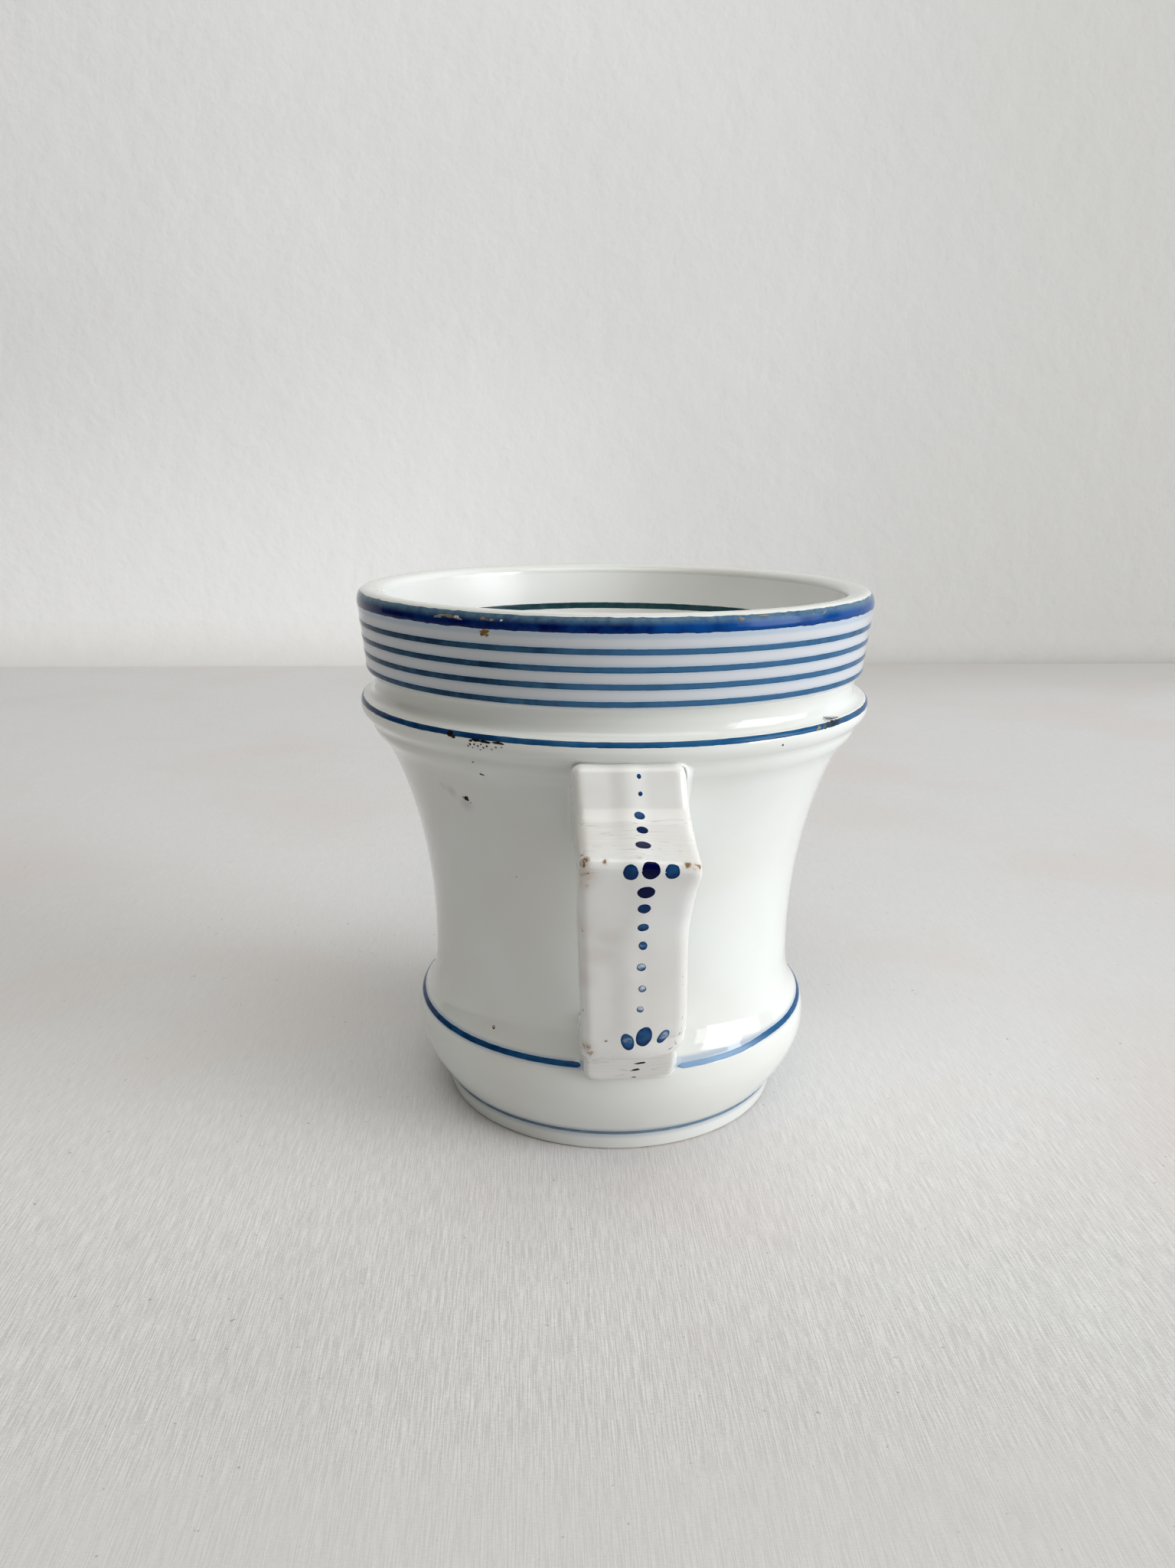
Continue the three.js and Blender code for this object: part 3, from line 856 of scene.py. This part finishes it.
upper_seat = seat_outline(*read_off(STRAP_EDGES, 61), 53.9, ROOT_Z - 0.1, 1.4)
finish_piece(
    fillet(upper_seat, upper_spread), "upper_slip", body_glaze, ["upper_slip_joint"],
)
lower_seat = seat_outline(PAD_LEFT, PAD_RIGHT, PAD_TOE_Z, 21.5, 1.6)
finish_piece(
    fillet(lower_seat, lambda place, outward: ramp(outward.y, -1, 0, 0.5, 0.7)),
    "lower_slip", body_glaze, ["lower_slip_joint"],
)
heel_seat = seat_outline(*read_off(STRAP_EDGES, 22), 20.4, 24.4, 1.2)
finish_piece(
    fillet(heel_seat, lambda place, outward: ramp(outward.y, 0.4, 1, 0.35, 1.5)),
    "heel_slip", body_glaze,
)

# %% [markdown]
# ## Cobalt paint
# The lines are cobalt blue, brushed on while the cup turned under a still brush, and dots pressed by hand.
# A brush leaves more colour at the edges of a stroke than in its middle, and thin colour lets the white
# through. Each stroke is a real thin skin that follows the wall, with a ragged edge, so it stays crisp
# from close by. Its material reads a value stored on the mesh, which runs across the stroke, for the
# pooled edges.

# %% The finish of the paint
def cobalt_paint(name, deep, full, thin, thin_share, dry_edge=None, gloss=0.08, painted_light_span=(-0.034, 0.012)):
    """Brushed cobalt, painted darker on the cup's shaded left and paler towards its lit right, then a little
    darker again at the far right: painted shade and light across the cup.
    """
    material, shader = new_material(name)
    position = add(material, "TexCoord").outputs["Object"]
    across = add(material, "Attribute", attribute_name="across").outputs["Fac"]
    faded = add(material, "Attribute", attribute_name="faded").outputs["Fac"]
    middle = maths(material, "ABSOLUTE", maths(material, "SUBTRACT", across, 0.5))
    pooled = between(material, middle, 0.22, 0.48)
    sideways = add(material, "SeparateXYZ", {0: position}).outputs["X"]
    # Painted light and shade: the paint is darker on the shaded left and paler towards the lit right, darker
    # again near the far right edge.
    painted_light_across = maths(
        material, "SUBTRACT", between(material, sideways, *painted_light_span, -0.1, 0.45),
        between(material, sideways, 0.014, 0.036, 0, 0.2),
    )
    density_and_painted_light = maths(material, "ADD", spots(material, position, 6, 4, 0.6), painted_light_across)
    colour = mix(material, between(material, density_and_painted_light, 0.3, 0.9), paint(deep), paint(full))
    thin_places = between(material, spots(material, position, 2.1, 3), 0.45, 0.75)
    weak = maths(material, "MULTIPLY", thin_places, thin_share)
    colour = mix(material, weak, colour, paint(thin))
    colour = mix(material, maths(material, "MULTIPLY", pooled, 0.45), colour, paint(deep))
    colour = mix(material, faded, colour, paint("#86a6c6"))
    if dry_edge:
        patchy = between(material, spots(material, position, 1.4, 4, 0.7), 0.3, 0.6, 0.55, 1)
        dry = maths(material, "MULTIPLY", between(material, across, 0.38, 0.8), patchy)
        colour = mix(material, dry, colour, paint(dry_edge))
    bare = between(material, spots(material, position, 0.9, 5, 0.75), 0.73, 0.78)
    colour = mix(material, bare, colour, paint("#b8ae9c"))
    shader.inputs["IOR"].default_value = GLASS_IOR
    shader.inputs["Specular IOR Level"].default_value = gloss
    link(material, colour, shader.inputs["Base Color"])
    link(material, between(material, bare, 0, 1, 0.11, 0.5), shader.inputs["Roughness"])
    ripple = relief(material, spots(material, position, 1.2, 2), 0.02, 0.5)
    link(material, ripple, shader.inputs["Normal"])
    return material


line_paint = cobalt_paint("cobalt_line_paint", "#06305c", "#1f5885", "#4a78a0", 0.25)
collar_paint = cobalt_paint("cobalt_collar_paint", "#06304d", "#3c688f", "#5c7f9b", 0.2)
foot_paint = cobalt_paint("cobalt_foot_paint", "#5a7083", "#6d8496", "#92a3af", 0.5)
rim_paint = cobalt_paint(
    "cobalt_rim_paint", "#000a4c", "#0b4a92", "#1a5490", 0.3, "#58778c", 0.1, (-0.014, 0.03),
)
# The inner line is cobalt like the others. Its darker, greener colour is partly painted shade from the
# hollow.
shaded_inner_paint = cobalt_paint("cobalt_inner_paint", "#18353c", "#274a51", "#4c6a6b", 0.3)

# %% A brushed stroke round the cup
STROKE_LIFT, STROKE_SINK = 0.04, 0.15
STROKE_CELLS, STROKE_STEPS_PER_DEGREE = 10, 0.8
RAG_COARSE, RAG_FINE = 26, 80
DROOP_END, DROOP_FADE = 25, 3.5
STROKE_SHARES = [cell / STROKE_CELLS for cell in range(STROKE_CELLS + 1)] + [1, 0]


def stroke_ring(section, lengths, low, high, angle, thickness):
    """One cut through a stroke: a flat skin whose edges dip into the glaze, closed under it."""
    ring = []
    for cell, across in enumerate(STROKE_SHARES):
        point, normal = along_section(section, lengths, low + (high - low) * across)
        skin = thickness * (1 - 1.6 * abs(2 * across - 1) ** 6)
        point = point + normal * (skin if cell <= STROKE_CELLS else -STROKE_SINK)
        ring.append(on_cup(point.x, angle, point.y))
    return ring


def raggedness(place, seed):
    shift = Vector((0, 0, seed))
    return noise.noise(place * RAG_COARSE + shift) + 0.6 * noise.noise(place * RAG_FINE + shift)


def stroke(name, material, height, width, seed, inner=False, ragged=0.05, drift=0.1,
           start=0.0, sweep=360.0, droop=0.0, thickness=STROKE_LIFT):
    """A skin of paint round the cup. Start and sweep are degrees from the handle, to the right.
    A stroke with a droop starts that much lower, and is faded there, where the brush had no paint yet."""
    section, lengths = (inside, inside_lengths) if inner else (outside, outside_lengths)
    centre = distance_at(section, lengths, height)
    count = round(sweep * STROKE_STEPS_PER_DEGREE)
    whole = sweep == 360.0
    rings, begins = [], []
    for step in range(count + 1):
        run = sweep * (step % count if whole else step) / count
        angle = math.radians(start + run)
        place = Vector((math.cos(angle), math.sin(angle), 0))
        ends = 1.0 if whole else min(min(step, count - step) * sweep / count / 1.5 + 0.03, 1) ** 0.5
        begin = 1 / (1 + math.exp((run - DROOP_END) / DROOP_FADE)) if droop else 0
        middle = centre + drift * noise.noise(place * 1.5 + Vector((0, 0, seed))) - droop * begin
        low = middle - width / 2 * ends + ragged * raggedness(place, seed)
        high = middle + width / 2 * ends + ragged * raggedness(place, seed + 5)
        rings.append(stroke_ring(section, lengths, low, high, angle, thickness))
        begins.append(begin)
    bm = roll(rings, close_ends=not whole, shares=STROKE_SHARES, row_shares=begins)
    return finish_piece(bm, name, material)


# %% Brush the lines, each at its height in millimetres
stroke("rim_band", rim_paint, 85.95, 2.5, 1, ragged=0.13, drift=0.15)
for number in range(4):
    height = COLLAR_LINE_Z + LINE_STEP * number
    stroke(f"collar_line_{number + 1}", collar_paint, height, 0.92, 11 + number, ragged=0.035)
stroke("ring_line", line_paint, 69.75, 0.95, 21)
stroke("foot_line", foot_paint, FOOT_LINE_Z, 0.85, 31, drift=0.04, thickness=0.06)
stroke("inner_line", shaded_inner_paint, 79.5, 1.25, 41, inner=True)

# The shoulder's line stops at both sides of the heel pad
SHOULDER_LINE_START, SHOULDER_LINE_END = 14.2, 348.8
stroke(
    "shoulder_line", line_paint, SHOULDER_LINE_Z, 1.0, 51, droop=0.6,
    start=SHOULDER_LINE_START, sweep=SHOULDER_LINE_END - SHOULDER_LINE_START,
)

# %% [markdown]
# ## Dots, specks and worn spots
# The dots were pressed on with a loaded brush: dark and thick at the elbow, and paler as the brush ran dry.
# Each is a flat drop. A small ball is squashed into a lens, and its points are laid on the strap
# by asking the strap's own mesh for the nearest place, so the drop follows every curve under it.
# The same drops, in other colours, make the kiln specks in the glaze and the places where paint has chipped.

# %% Drops laid on a surface
DROP_LIFT, SPECK_LIFT, DROP_SINK = 0.04, 0.08, 0.14


def surface_of(piece):
    bm = bmesh.new()
    bm.from_mesh(piece.data)
    tree = BVHTree.FromBMesh(bm)
    bm.free()
    return tree


def lay_drop(bm, surface, place, width, height, tilt, tone, seed, ragged=0.06, top=DROP_LIFT):
    """Adds a drop round the surface's nearest point to a place, as wide and high as given in millimetres."""
    tones = bm.verts.layers.float["tone"]
    sags = bm.verts.layers.float["sag"]
    edges = bm.verts.layers.float["across"]
    middle, normal, _, _ = surface.find_nearest(place)
    sideways = Vector((0, 0, 1)).cross(normal).normalized()
    upward = normal.cross(sideways)
    ball = bmesh.ops.create_uvsphere(bm, u_segments=26, v_segments=10, radius=1)["verts"]
    for vert in ball:
        x, y, rise = vert.co
        outline = 1 + ragged * noise.noise(Vector((x * 1.3, y * 1.3, seed)))
        across, along = x * width / 2 * outline, y * height / 2 * outline
        turned = Vector((across * math.cos(tilt) - along * math.sin(tilt),
                         across * math.sin(tilt) + along * math.cos(tilt)))
        guess = middle + (sideways * turned.x + upward * turned.y) * MM
        ground, out, _, _ = surface.find_nearest(guess)
        lift = top * rise if rise > 0 else DROP_SINK * rise
        vert.co = ground + out * lift * MM
        vert[tones] = tone
        vert[sags] = 0.5 - turned.y / height
        vert[edges] = math.hypot(x, y)


def new_drops():
    bm = bmesh.new()
    for layer in ("tone", "sag", "across"):
        bm.verts.layers.float.new(layer)
    return bm


def drop_paint(name, stops):
    """Paint whose colour follows each drop's own tone, paler inside and pooled dark at its edge and foot."""
    material, shader = new_material(name)
    position = add(material, "TexCoord").outputs["Object"]
    tone = add(material, "Attribute", attribute_name="tone").outputs["Fac"]
    sag = add(material, "Attribute", attribute_name="sag").outputs["Fac"]
    edge = add(material, "Attribute", attribute_name="across").outputs["Fac"]
    cloud = between(material, spots(material, position, 0.9, 3), 0.3, 0.7, -0.14, 0.14)
    pool = maths(material, "ADD", between(material, sag, 0.35, 1, 0.08, -0.3), cloud)
    rim = between(material, edge, 0.55, 0.95, 0.06, -0.22)
    swing = maths(material, "MULTIPLY", maths(material, "ADD", pool, rim), tone)
    shade = maths(material, "ADD", swing, tone, True)
    ramp_node = add(material, "ValToRGB", {"Fac": shade})
    elements = ramp_node.color_ramp.elements
    for position_on_ramp, code in stops:
        element = elements.new(position_on_ramp)
        element.color = paint(code)
    elements.remove(elements[0])
    elements.remove(elements[-1])
    shader.inputs["IOR"].default_value = GLASS_IOR
    shader.inputs["Specular IOR Level"].default_value = 0.08
    shader.inputs["Roughness"].default_value = 0.2
    link(material, ramp_node.outputs["Color"], shader.inputs["Base Color"])
    return material


# %% The dots of the strap
# Across, reach and height in millimetres, then width, height, tilt in degrees and tone from navy 0 to pale 1
HANDLE_DOTS = [
    (0.62, 42.3, 65.55, 0.6, 0.7, 20, 0.35),
    (0.76, 42.9, 63.25, 0.62, 0.65, 10, 0.35),
    (0.49, 44.1, 60.2, 1.5, 1.2, -20, 0.42),
    (0.77, 46.7, 59.2, 1.6, 1.5, -20, 0.12),
    (0.60, 50.2, 58.3, 2.2, 2.0, -6, 0.05),
    (-1.34, 54.6, 56.2, 2.0, 2.75, 0, 0.32),
    (1.23, 54.7, 56.4, 2.5, 3.2, 0, 0.0),
    (4.03, 54.5, 56.1, 1.95, 2.6, 0, 0.34),
    (0.83, 53.1, 52.9, 2.35, 2.2, 8, 0.03),
    (0.75, 51.9, 50.1, 1.75, 1.75, 0, 0.26),
    (0.80, 50.4, 46.9, 1.55, 1.45, -4, 0.42),
    (0.95, 49.0, 43.65, 1.2, 1.65, 14, 0.5),
    (0.94, 47.5, 39.9, 1.3, 1.5, 20, 0.66),
    (1.27, 46.1, 36.0, 1.1, 1.35, 20, 0.66),
    (1.15, 44.8, 32.3, 1.0, 1.25, 24, 0.7),
    (-0.37, 42.6, 26.0, 1.9, 3.9, 14, 0.52),
    (2.00, 42.9, 26.8, 2.45, 4.3, 0, 0.4),
    (4.95, 42.6, 26.2, 1.65, 3.2, -12, 0.56),
]


def drops_on_handle(name, piece, places, material, ragged=0.06):
    surface = surface_of(piece)
    bm = new_drops()
    for number, (across, reach, height, wide, high, tilt, tone) in enumerate(places):
        place = Vector((across * MM, AXIS_Y - reach * MM, height * MM))
        lay_drop(bm, surface, place, wide, high, math.radians(tilt), tone, number * 3.7, ragged)
    return finish_piece(bm, name, material)


dot_paint = drop_paint("cobalt_dot_paint", [
    (0, "#000235"), (0.3, "#063162"), (0.55, "#285b88"), (1, "#7e96b0"),
])
drops_on_handle("handle_dots", strap, HANDLE_DOTS, dot_paint)
print(len(HANDLE_DOTS), "dots on the strap")

# %% [markdown]
# ### Specks and chips
# Specks of iron burned brown in the kiln, and the rim's paint has chipped down to a yellowed clay.
# A smudge of burnt cobalt crosses the ring, and small marks of wear lie along the strap's edges. They lie
# where the photograph shows them, given by angle round the cup and height.

# %% Specks in the glaze and chips in the paint
# Angle in degrees and height in millimetres, then width, height, tilt and tone
KILN_SPECKS = [
    (-40.8, 58.3, 1.0, 0.85, 20, 0.0), (-41.8, 58.4, 0.4, 0.3, 0, 0.6), (-39.9, 57.7, 0.35, 0.25, 30, 0.7),
    (-32.9, 63.3, 0.85, 0.4, -15, 0.25), (-33.6, 65.4, 0.35, 0.22, 0, 0.4), (-39.6, 19.8, 0.6, 0.62, 0, 0.5),
    (-30.0, 46.3, 0.26, 0.28, 0, 0.75), (30.9, 68.2, 0.35, 0.35, 0, 0.3), (-29.3, 83.9, 0.28, 0.26, 0, 0.2),
    (-37.2, 69.7, 1.3, 0.95, 0, 0.0), (-36.3, 69.3, 0.7, 0.5, 20, 0.1), (-31.0, 69.25, 1.3, 0.45, -4, 0.0),
    (-29.2, 69.2, 1.9, 0.4, -4, 0.0), (-26.2, 69.2, 1.8, 0.35, -4, 0.05), (-32.2, 69.1, 0.6, 0.35, 0, 0.1),
    (-32.4, 68.5, 0.35, 0.35, 0, 0.35), (-31.4, 68.6, 0.3, 0.3, 0, 0.4), (-30.6, 68.4, 0.3, 0.28, 0, 0.3),
    (-29.4, 68.2, 0.32, 0.3, 0, 0.4), (-28.6, 68.5, 0.35, 0.3, 0, 0.3), (-31.9, 68.0, 0.25, 0.22, 0, 0.5),
    (-27.6, 68.1, 0.3, 0.22, 0, 0.5), (-30.2, 67.8, 0.28, 0.2, 0, 0.55), (-26.6, 68.5, 0.3, 0.25, 0, 0.45),
    (-32.9, 68.2, 0.25, 0.3, 0, 0.45), (-29.9, 68.7, 0.28, 0.24, 0, 0.3), (-25.4, 68.6, 0.24, 0.2, 0, 0.5),
    (160.0, 47.0, 0.35, 0.3, 0, 0.4), (122.0, 60.0, 0.4, 0.3, 0, 0.5), (-118.0, 35.0, 0.45, 0.4, 0, 0.4),
    (-150.0, 72.5, 0.3, 0.3, 0, 0.3), (205.0, 21.0, 0.4, 0.35, 0, 0.4), (95.0, 40.0, 0.25, 0.25, 0, 0.6),
]
RIM_CHIPS = [
    (-39.3, 86.0, 2.0, 0.5, 8, 0.6), (-37.0, 86.2, 1.9, 0.4, 0, 0.45), (-34.8, 86.1, 1.5, 0.5, -8, 0.8),
    (-28.8, 86.2, 1.5, 0.4, -12, 0.5), (-27.2, 86.1, 0.9, 0.4, 10, 0.6), (-25.2, 86.1, 0.5, 0.3, 35, 0.85),
    (-28.9, 84.3, 1.2, 0.7, 0, 0.05), (-28.2, 83.9, 0.5, 0.4, 40, 0.15), (20.3, 86.5, 0.9, 0.5, 0, 0.6),
    (25.0, 86.75, 2.2, 0.3, 0, 0.55), (37.6, 86.4, 0.5, 0.25, 20, 0.6), (41.0, 86.35, 1.2, 0.2, 25, 0.6),
    (46.0, 86.6, 0.4, 0.22, 0, 0.6), (41.3, 69.75, 1.2, 0.6, 10, 0.6), (150.0, 86.5, 1.6, 0.4, 0, 0.5),
    (172.0, 86.4, 0.8, 0.35, 0, 0.6), (-110.0, 86.5, 1.2, 0.4, 0, 0.5), (98.0, 86.45, 0.7, 0.3, 0, 0.7),
]

# A smudge lies over the ring's line, with tufts that were dragged upwards
RING_SMUDGE = [
    (43.4, 69.7, 1.3, 0.7, 8, 0.35), (44.9, 69.8, 2.0, 0.8, 8, 0.1), (46.8, 69.9, 2.2, 0.95, 8, 0.0),
    (48.8, 69.95, 2.0, 0.75, 6, 0.1), (50.4, 70.0, 1.4, 0.5, 0, 0.3), (45.2, 70.2, 0.3, 0.9, 35, 0.75),
    (46.2, 70.25, 0.36, 1.4, 38, 0.6), (47.1, 70.3, 0.4, 1.6, 32, 0.45), (48.0, 70.3, 0.36, 1.4, 28, 0.5),
    (49.0, 70.25, 0.3, 1.2, 30, 0.6), (50.0, 70.25, 0.26, 0.9, 24, 0.7),
]

# Across, reach and height in millimetres, then width, height, tilt and tone
STRAP_MARKS = [
    (-3.46, 42.6, 26.3, 0.5, 0.35, 30, 0.5), (7.9, 46.4, 37.5, 0.2, 0.8, 0, 0.85),
    (8.0, 45.8, 35.9, 0.2, 0.4, 0, 0.9), (8.2, 43.4, 30.0, 0.14, 1.4, 0, 0.9),
    (8.2, 42.4, 26.6, 0.16, 1.5, 0, 0.75), (7.6, 41.9, 24.4, 0.25, 0.8, 25, 0.7),
    (6.3, 41.3, 23.5, 0.8, 0.2, 35, 0.7), (-7.4, 50.0, 46.5, 0.15, 0.9, 0, 0.7),
    (-7.2, 44.5, 32.0, 0.2, 0.5, 0, 0.6),
]
PAD_DASHES = [
    (2.26, 35.6, 18.9, 1.9, 0.3, 8, 0.0), (1.55, 35.3, 17.7, 1.15, 0.42, 4, 0.1),
    (0.9, 35.3, 17.5, 0.4, 0.2, 0, 0.5), (1.3, 35.0, 16.2, 0.7, 0.28, 0, 0.15),
]


def drops_on_cup(name, places, material, ragged):
    surface = surface_of(cup_body)
    bm = new_drops()
    for number, (degrees, height, wide, high, tilt, tone) in enumerate(places):
        place = on_cup(radius_at(height) + 0.2, math.radians(degrees), height)
        seed = 100 + number * 2.3
        lay_drop(bm, surface, place, wide, high, math.radians(tilt), tone, seed, ragged, SPECK_LIFT)
    return finish_piece(bm, name, material)


speck_paint = drop_paint("iron_speck_glaze", [(0, "#1a1513"), (0.4, "#5d4030"), (1, "#9b8672")])
smudge_paint = drop_paint("smudged_cobalt", [(0, "#22333f"), (0.4, "#4d5a62"), (1, "#9b9a93")])
chip_paint = drop_paint("chipped_yellowed_clay", [
    (0, "#80611c"), (0.45, "#85795f"), (0.7, "#8d8a80"), (1, "#aca69b"),
])
drops_on_cup("kiln_specks", KILN_SPECKS, speck_paint, 0.5)
drops_on_cup("ring_smudge", RING_SMUDGE, smudge_paint, 0.7)
drops_on_cup("rim_chips", RIM_CHIPS, chip_paint, 1.1)
drops_on_handle("strap_marks", strap, STRAP_MARKS, speck_paint, 0.5)
drops_on_handle("pad_dashes", pad, PAD_DASHES, speck_paint, 0.4)

# %% [markdown]
# ## The table and the light
# The cup stands on pale cloth in front of a pale wall, with one big window low on its right.
# The window is an area lamp, and its shape matters more than its power, because the glaze mirrors it.
# A wider and paler lamp beside it is the lit room, one above and in front is the ceiling, and two weak ones
# are a window far to the left and light that falls on the wall. The world fills the shadows evenly.
# Cloth and wall are one sheet, curved up behind the cup.

# %% Cloth and wall
WALL_DISTANCE, SWEEP_RADIUS, SWEEP_STEPS = 0.45, 0.02, 12
STAGE_LEFT, STAGE_RIGHT, STAGE_FRONT, STAGE_TOP = 0.8, 1.6, 0.32, 1.3


def streaks(material, position, across, along):
    """A noise drawn out along Y, for threads: its grain is so many millimetres across and along."""
    drawn = add(material, "VectorMath", {
        0: position, 1: (1 / (across * MM), 1 / (along * MM), 1 / (across * MM)),
    }, operation="MULTIPLY").outputs[0]
    return add(material, "TexNoise", {"Vector": drawn, "Scale": 1.0, "Detail": 2.0}).outputs["Fac"]


def ribbed_cloth():
    """Pale cotton: threads 0.2 mm wide run away from the camera in uneven bundles, with finer ones across.
    The camera is only sharp in a strip in front of the cup, so the weave fades before and behind it."""
    material, shader = new_material("ribbed_cotton_cloth")
    position = add(material, "TexCoord").outputs["Object"]
    ahead = add(material, "SeparateXYZ", {0: position}).outputs["Y"]
    threads = between(material, streaks(material, position, 0.2, 4.5), 0.36, 0.64)
    bundles = between(material, streaks(material, position, 0.45, 26), 0.4, 0.68)
    crossing = between(material, streaks(material, position, 0.8, 0.2), 0.36, 0.64)
    weave = maths(material, "MULTIPLY", threads, 0.52)
    weave = maths(material, "ADD", weave, maths(material, "MULTIPLY", bundles, 0.2))
    weave = maths(material, "ADD", weave, maths(material, "MULTIPLY", crossing, 0.28))
    blur = maths(
        material, "ADD", between(material, ahead, -0.06, 0.03, 0, 0.75),
        between(material, ahead, -0.074, -0.092, 0, 0.55),
    )
    seen = mix(material, blur, weave, (0.5, 0.5, 0.5, 1))
    colour = mix(material, seen, paint("#cfcfcf"), paint("#f3f3f3"))
    washed = between(material, spots(material, position, 70, 3), 0.45, 0.72)
    colour = mix(material, maths(material, "MULTIPLY", washed, 0.3), colour, paint("#dfd0cb"))
    nicks = between(material, spots(material, position, 1.3, 3, 0.6), 0.69, 0.73)
    colour = mix(material, maths(material, "MULTIPLY", nicks, 0.5), colour, paint("#8d8780"))
    # Painted shade: the cloth is darker towards the camera and near the foot of the wall, less so on the
    # left.
    sideways = add(material, "SeparateXYZ", {0: position}).outputs["X"]
    painted_shade_by_wall = maths(
        material, "MULTIPLY", between(material, ahead, WALL_DISTANCE - 0.14, WALL_DISTANCE, 0, 0.5),
        between(material, sideways, -0.2, 0.16, 0.1, 1),
    )
    painted_shade_on_cloth = maths(material, "ADD", between(material, ahead, -0.02, -0.1, 0, 0.2), painted_shade_by_wall)
    colour = mix(material, painted_shade_on_cloth, colour, paint("#c4c0bb"))
    link(material, colour, shader.inputs["Base Color"])
    shader.inputs["Roughness"].default_value = 0.95
    shader.inputs["Specular IOR Level"].default_value = 0.1
    rucks = relief(material, spots(material, position, 30, 2), 0.8, 0.2)
    link(material, relief(material, seen, 0.06, 0.5, rucks), shader.inputs["Normal"])
    return material


def painted_plaster():
    """A white wall, rolled and dented: soft hollows a centimetre wide under a finer skin."""
    material, shader = new_material("painted_plaster_wall")
    position = add(material, "TexCoord").outputs["Object"]
    clouds = between(material, spots(material, position, 160, 2), 0.3, 0.7)
    colour = mix(material, clouds, paint("#ececec"), paint("#e7e7e6"))
    across = add(material, "SeparateXYZ", {0: position}).outputs["X"]
    height = add(material, "SeparateXYZ", {0: position}).outputs["Z"]
    # Painted light and shade: the wall is painted lighter low on the left, darker towards the right, and
    # darker at its foot where it meets the cloth.
    painted_light_low_left = maths(
        material, "MULTIPLY", between(material, height, 0.2, 0.03), between(material, across, 0.1, -0.12),
    )
    colour = mix(material, painted_light_low_left, colour, paint("#f9f9f8"))
    shade = between(material, across, -0.12, 0.4)
    colour = mix(material, shade, colour, paint("#c9c8c5"))
    darkening = between(material, height, 0.026, 0.0, 0, 0.3)
    colour = mix(material, darkening, colour, paint("#b9b3ad"))
    link(material, colour, shader.inputs["Base Color"])
    shader.inputs["Roughness"].default_value = 0.9
    shader.inputs["Specular IOR Level"].default_value = 0.15
    hollows = relief(material, spots(material, position, 14, 3, 0.55), 1.2, 0.5)
    skin = relief(material, spots(material, position, 4, 3), 0.3, 0.5, hollows)
    link(material, skin, shader.inputs["Normal"])
    return material


def build_stage():
    bm = bmesh.new()
    line = [Vector((-STAGE_LEFT, -STAGE_FRONT, 0)), Vector((-STAGE_LEFT, WALL_DISTANCE, 0))]
    for step in range(1, SWEEP_STEPS + 1):
        angle = math.pi / 2 * step / SWEEP_STEPS
        line.append(Vector((
            -STAGE_LEFT,
            WALL_DISTANCE + SWEEP_RADIUS * math.sin(angle),
            SWEEP_RADIUS * (1 - math.cos(angle)),
        )))
    line.append(Vector((-STAGE_LEFT, WALL_DISTANCE + SWEEP_RADIUS, STAGE_TOP)))
    verts = [bm.verts.new(point) for point in line]
    edges = [bm.edges.new(pair) for pair in zip(verts, verts[1:])]
    pulled = bmesh.ops.extrude_edge_only(bm, edges=edges)["geom"]
    moved = [item for item in pulled if isinstance(item, bmesh.types.BMVert)]
    bmesh.ops.translate(bm, verts=moved, vec=(STAGE_LEFT + STAGE_RIGHT, 0, 0))
    for face in bm.faces:
        face.smooth = True
        face.material_index = 1 if face.calc_center_median().z > 0 else 0
    mesh = bpy.data.meshes.new("cloth_and_wall")
    bm.to_mesh(mesh)
    bm.free()
    mesh.materials.append(ribbed_cloth())
    mesh.materials.append(painted_plaster())
    stage = bpy.data.objects.new("cloth_and_wall", mesh)
    bpy.context.scene.collection.objects.link(stage)


build_stage()


# %% Window, fill and world
def area_lamp(name, place, target, size, power, colour):
    lamp = bpy.data.lights.new(name, "AREA")
    lamp.shape = "RECTANGLE"
    lamp.size, lamp.size_y = size
    lamp.energy = power
    lamp.color = paint(colour)[:3]
    holder = bpy.data.objects.new(name, lamp)
    holder.location = place
    holder.rotation_euler = (Vector(target) - Vector(place)).to_track_quat("-Z", "Y").to_euler()
    holder.visible_camera = False
    bpy.context.scene.collection.objects.link(holder)


def round_the_cup(heading, distance, height):
    """A place seen from the cup at a heading in degrees from the handle, to the right."""
    turn = math.radians(heading)
    return distance * math.sin(turn), -distance * math.cos(turn), height


area_lamp("window", round_the_cup(67, 1.6, 0.43), (0, 0, 0.05), (0.74, 1.1), 16.8, "#f3f8ff")
area_lamp("room_beside_the_window", round_the_cup(71, 2.1, 0.42), (0, 0, 0.08), (1.8, 0.8), 15.8, "#fbfbfa")
area_lamp("far_window", round_the_cup(-53, 1.0, 0.22), (0, 0, 0.05), (0.3, 0.45), 0.06, "#ffffff")
area_lamp("ceiling", (0.05, -0.38, 1.05), (-0.02, 0, 0), (1.1, 1.0), 7.4, "#fdfbf6")
area_lamp("light_on_the_wall", (-0.55, 0.05, 0.5), (-0.4, 0.65, 0.06), (0.6, 0.3), 0.16, "#ffffff")

world = bpy.data.worlds.new("pale_room")
world.use_nodes = True
world.node_tree.nodes["Background"].inputs["Color"].default_value = paint("#dccfba")
world.node_tree.nodes["Background"].inputs["Strength"].default_value = 0.055
bpy.context.scene.world = world
bpy.context.scene.view_settings.view_transform = "Standard"
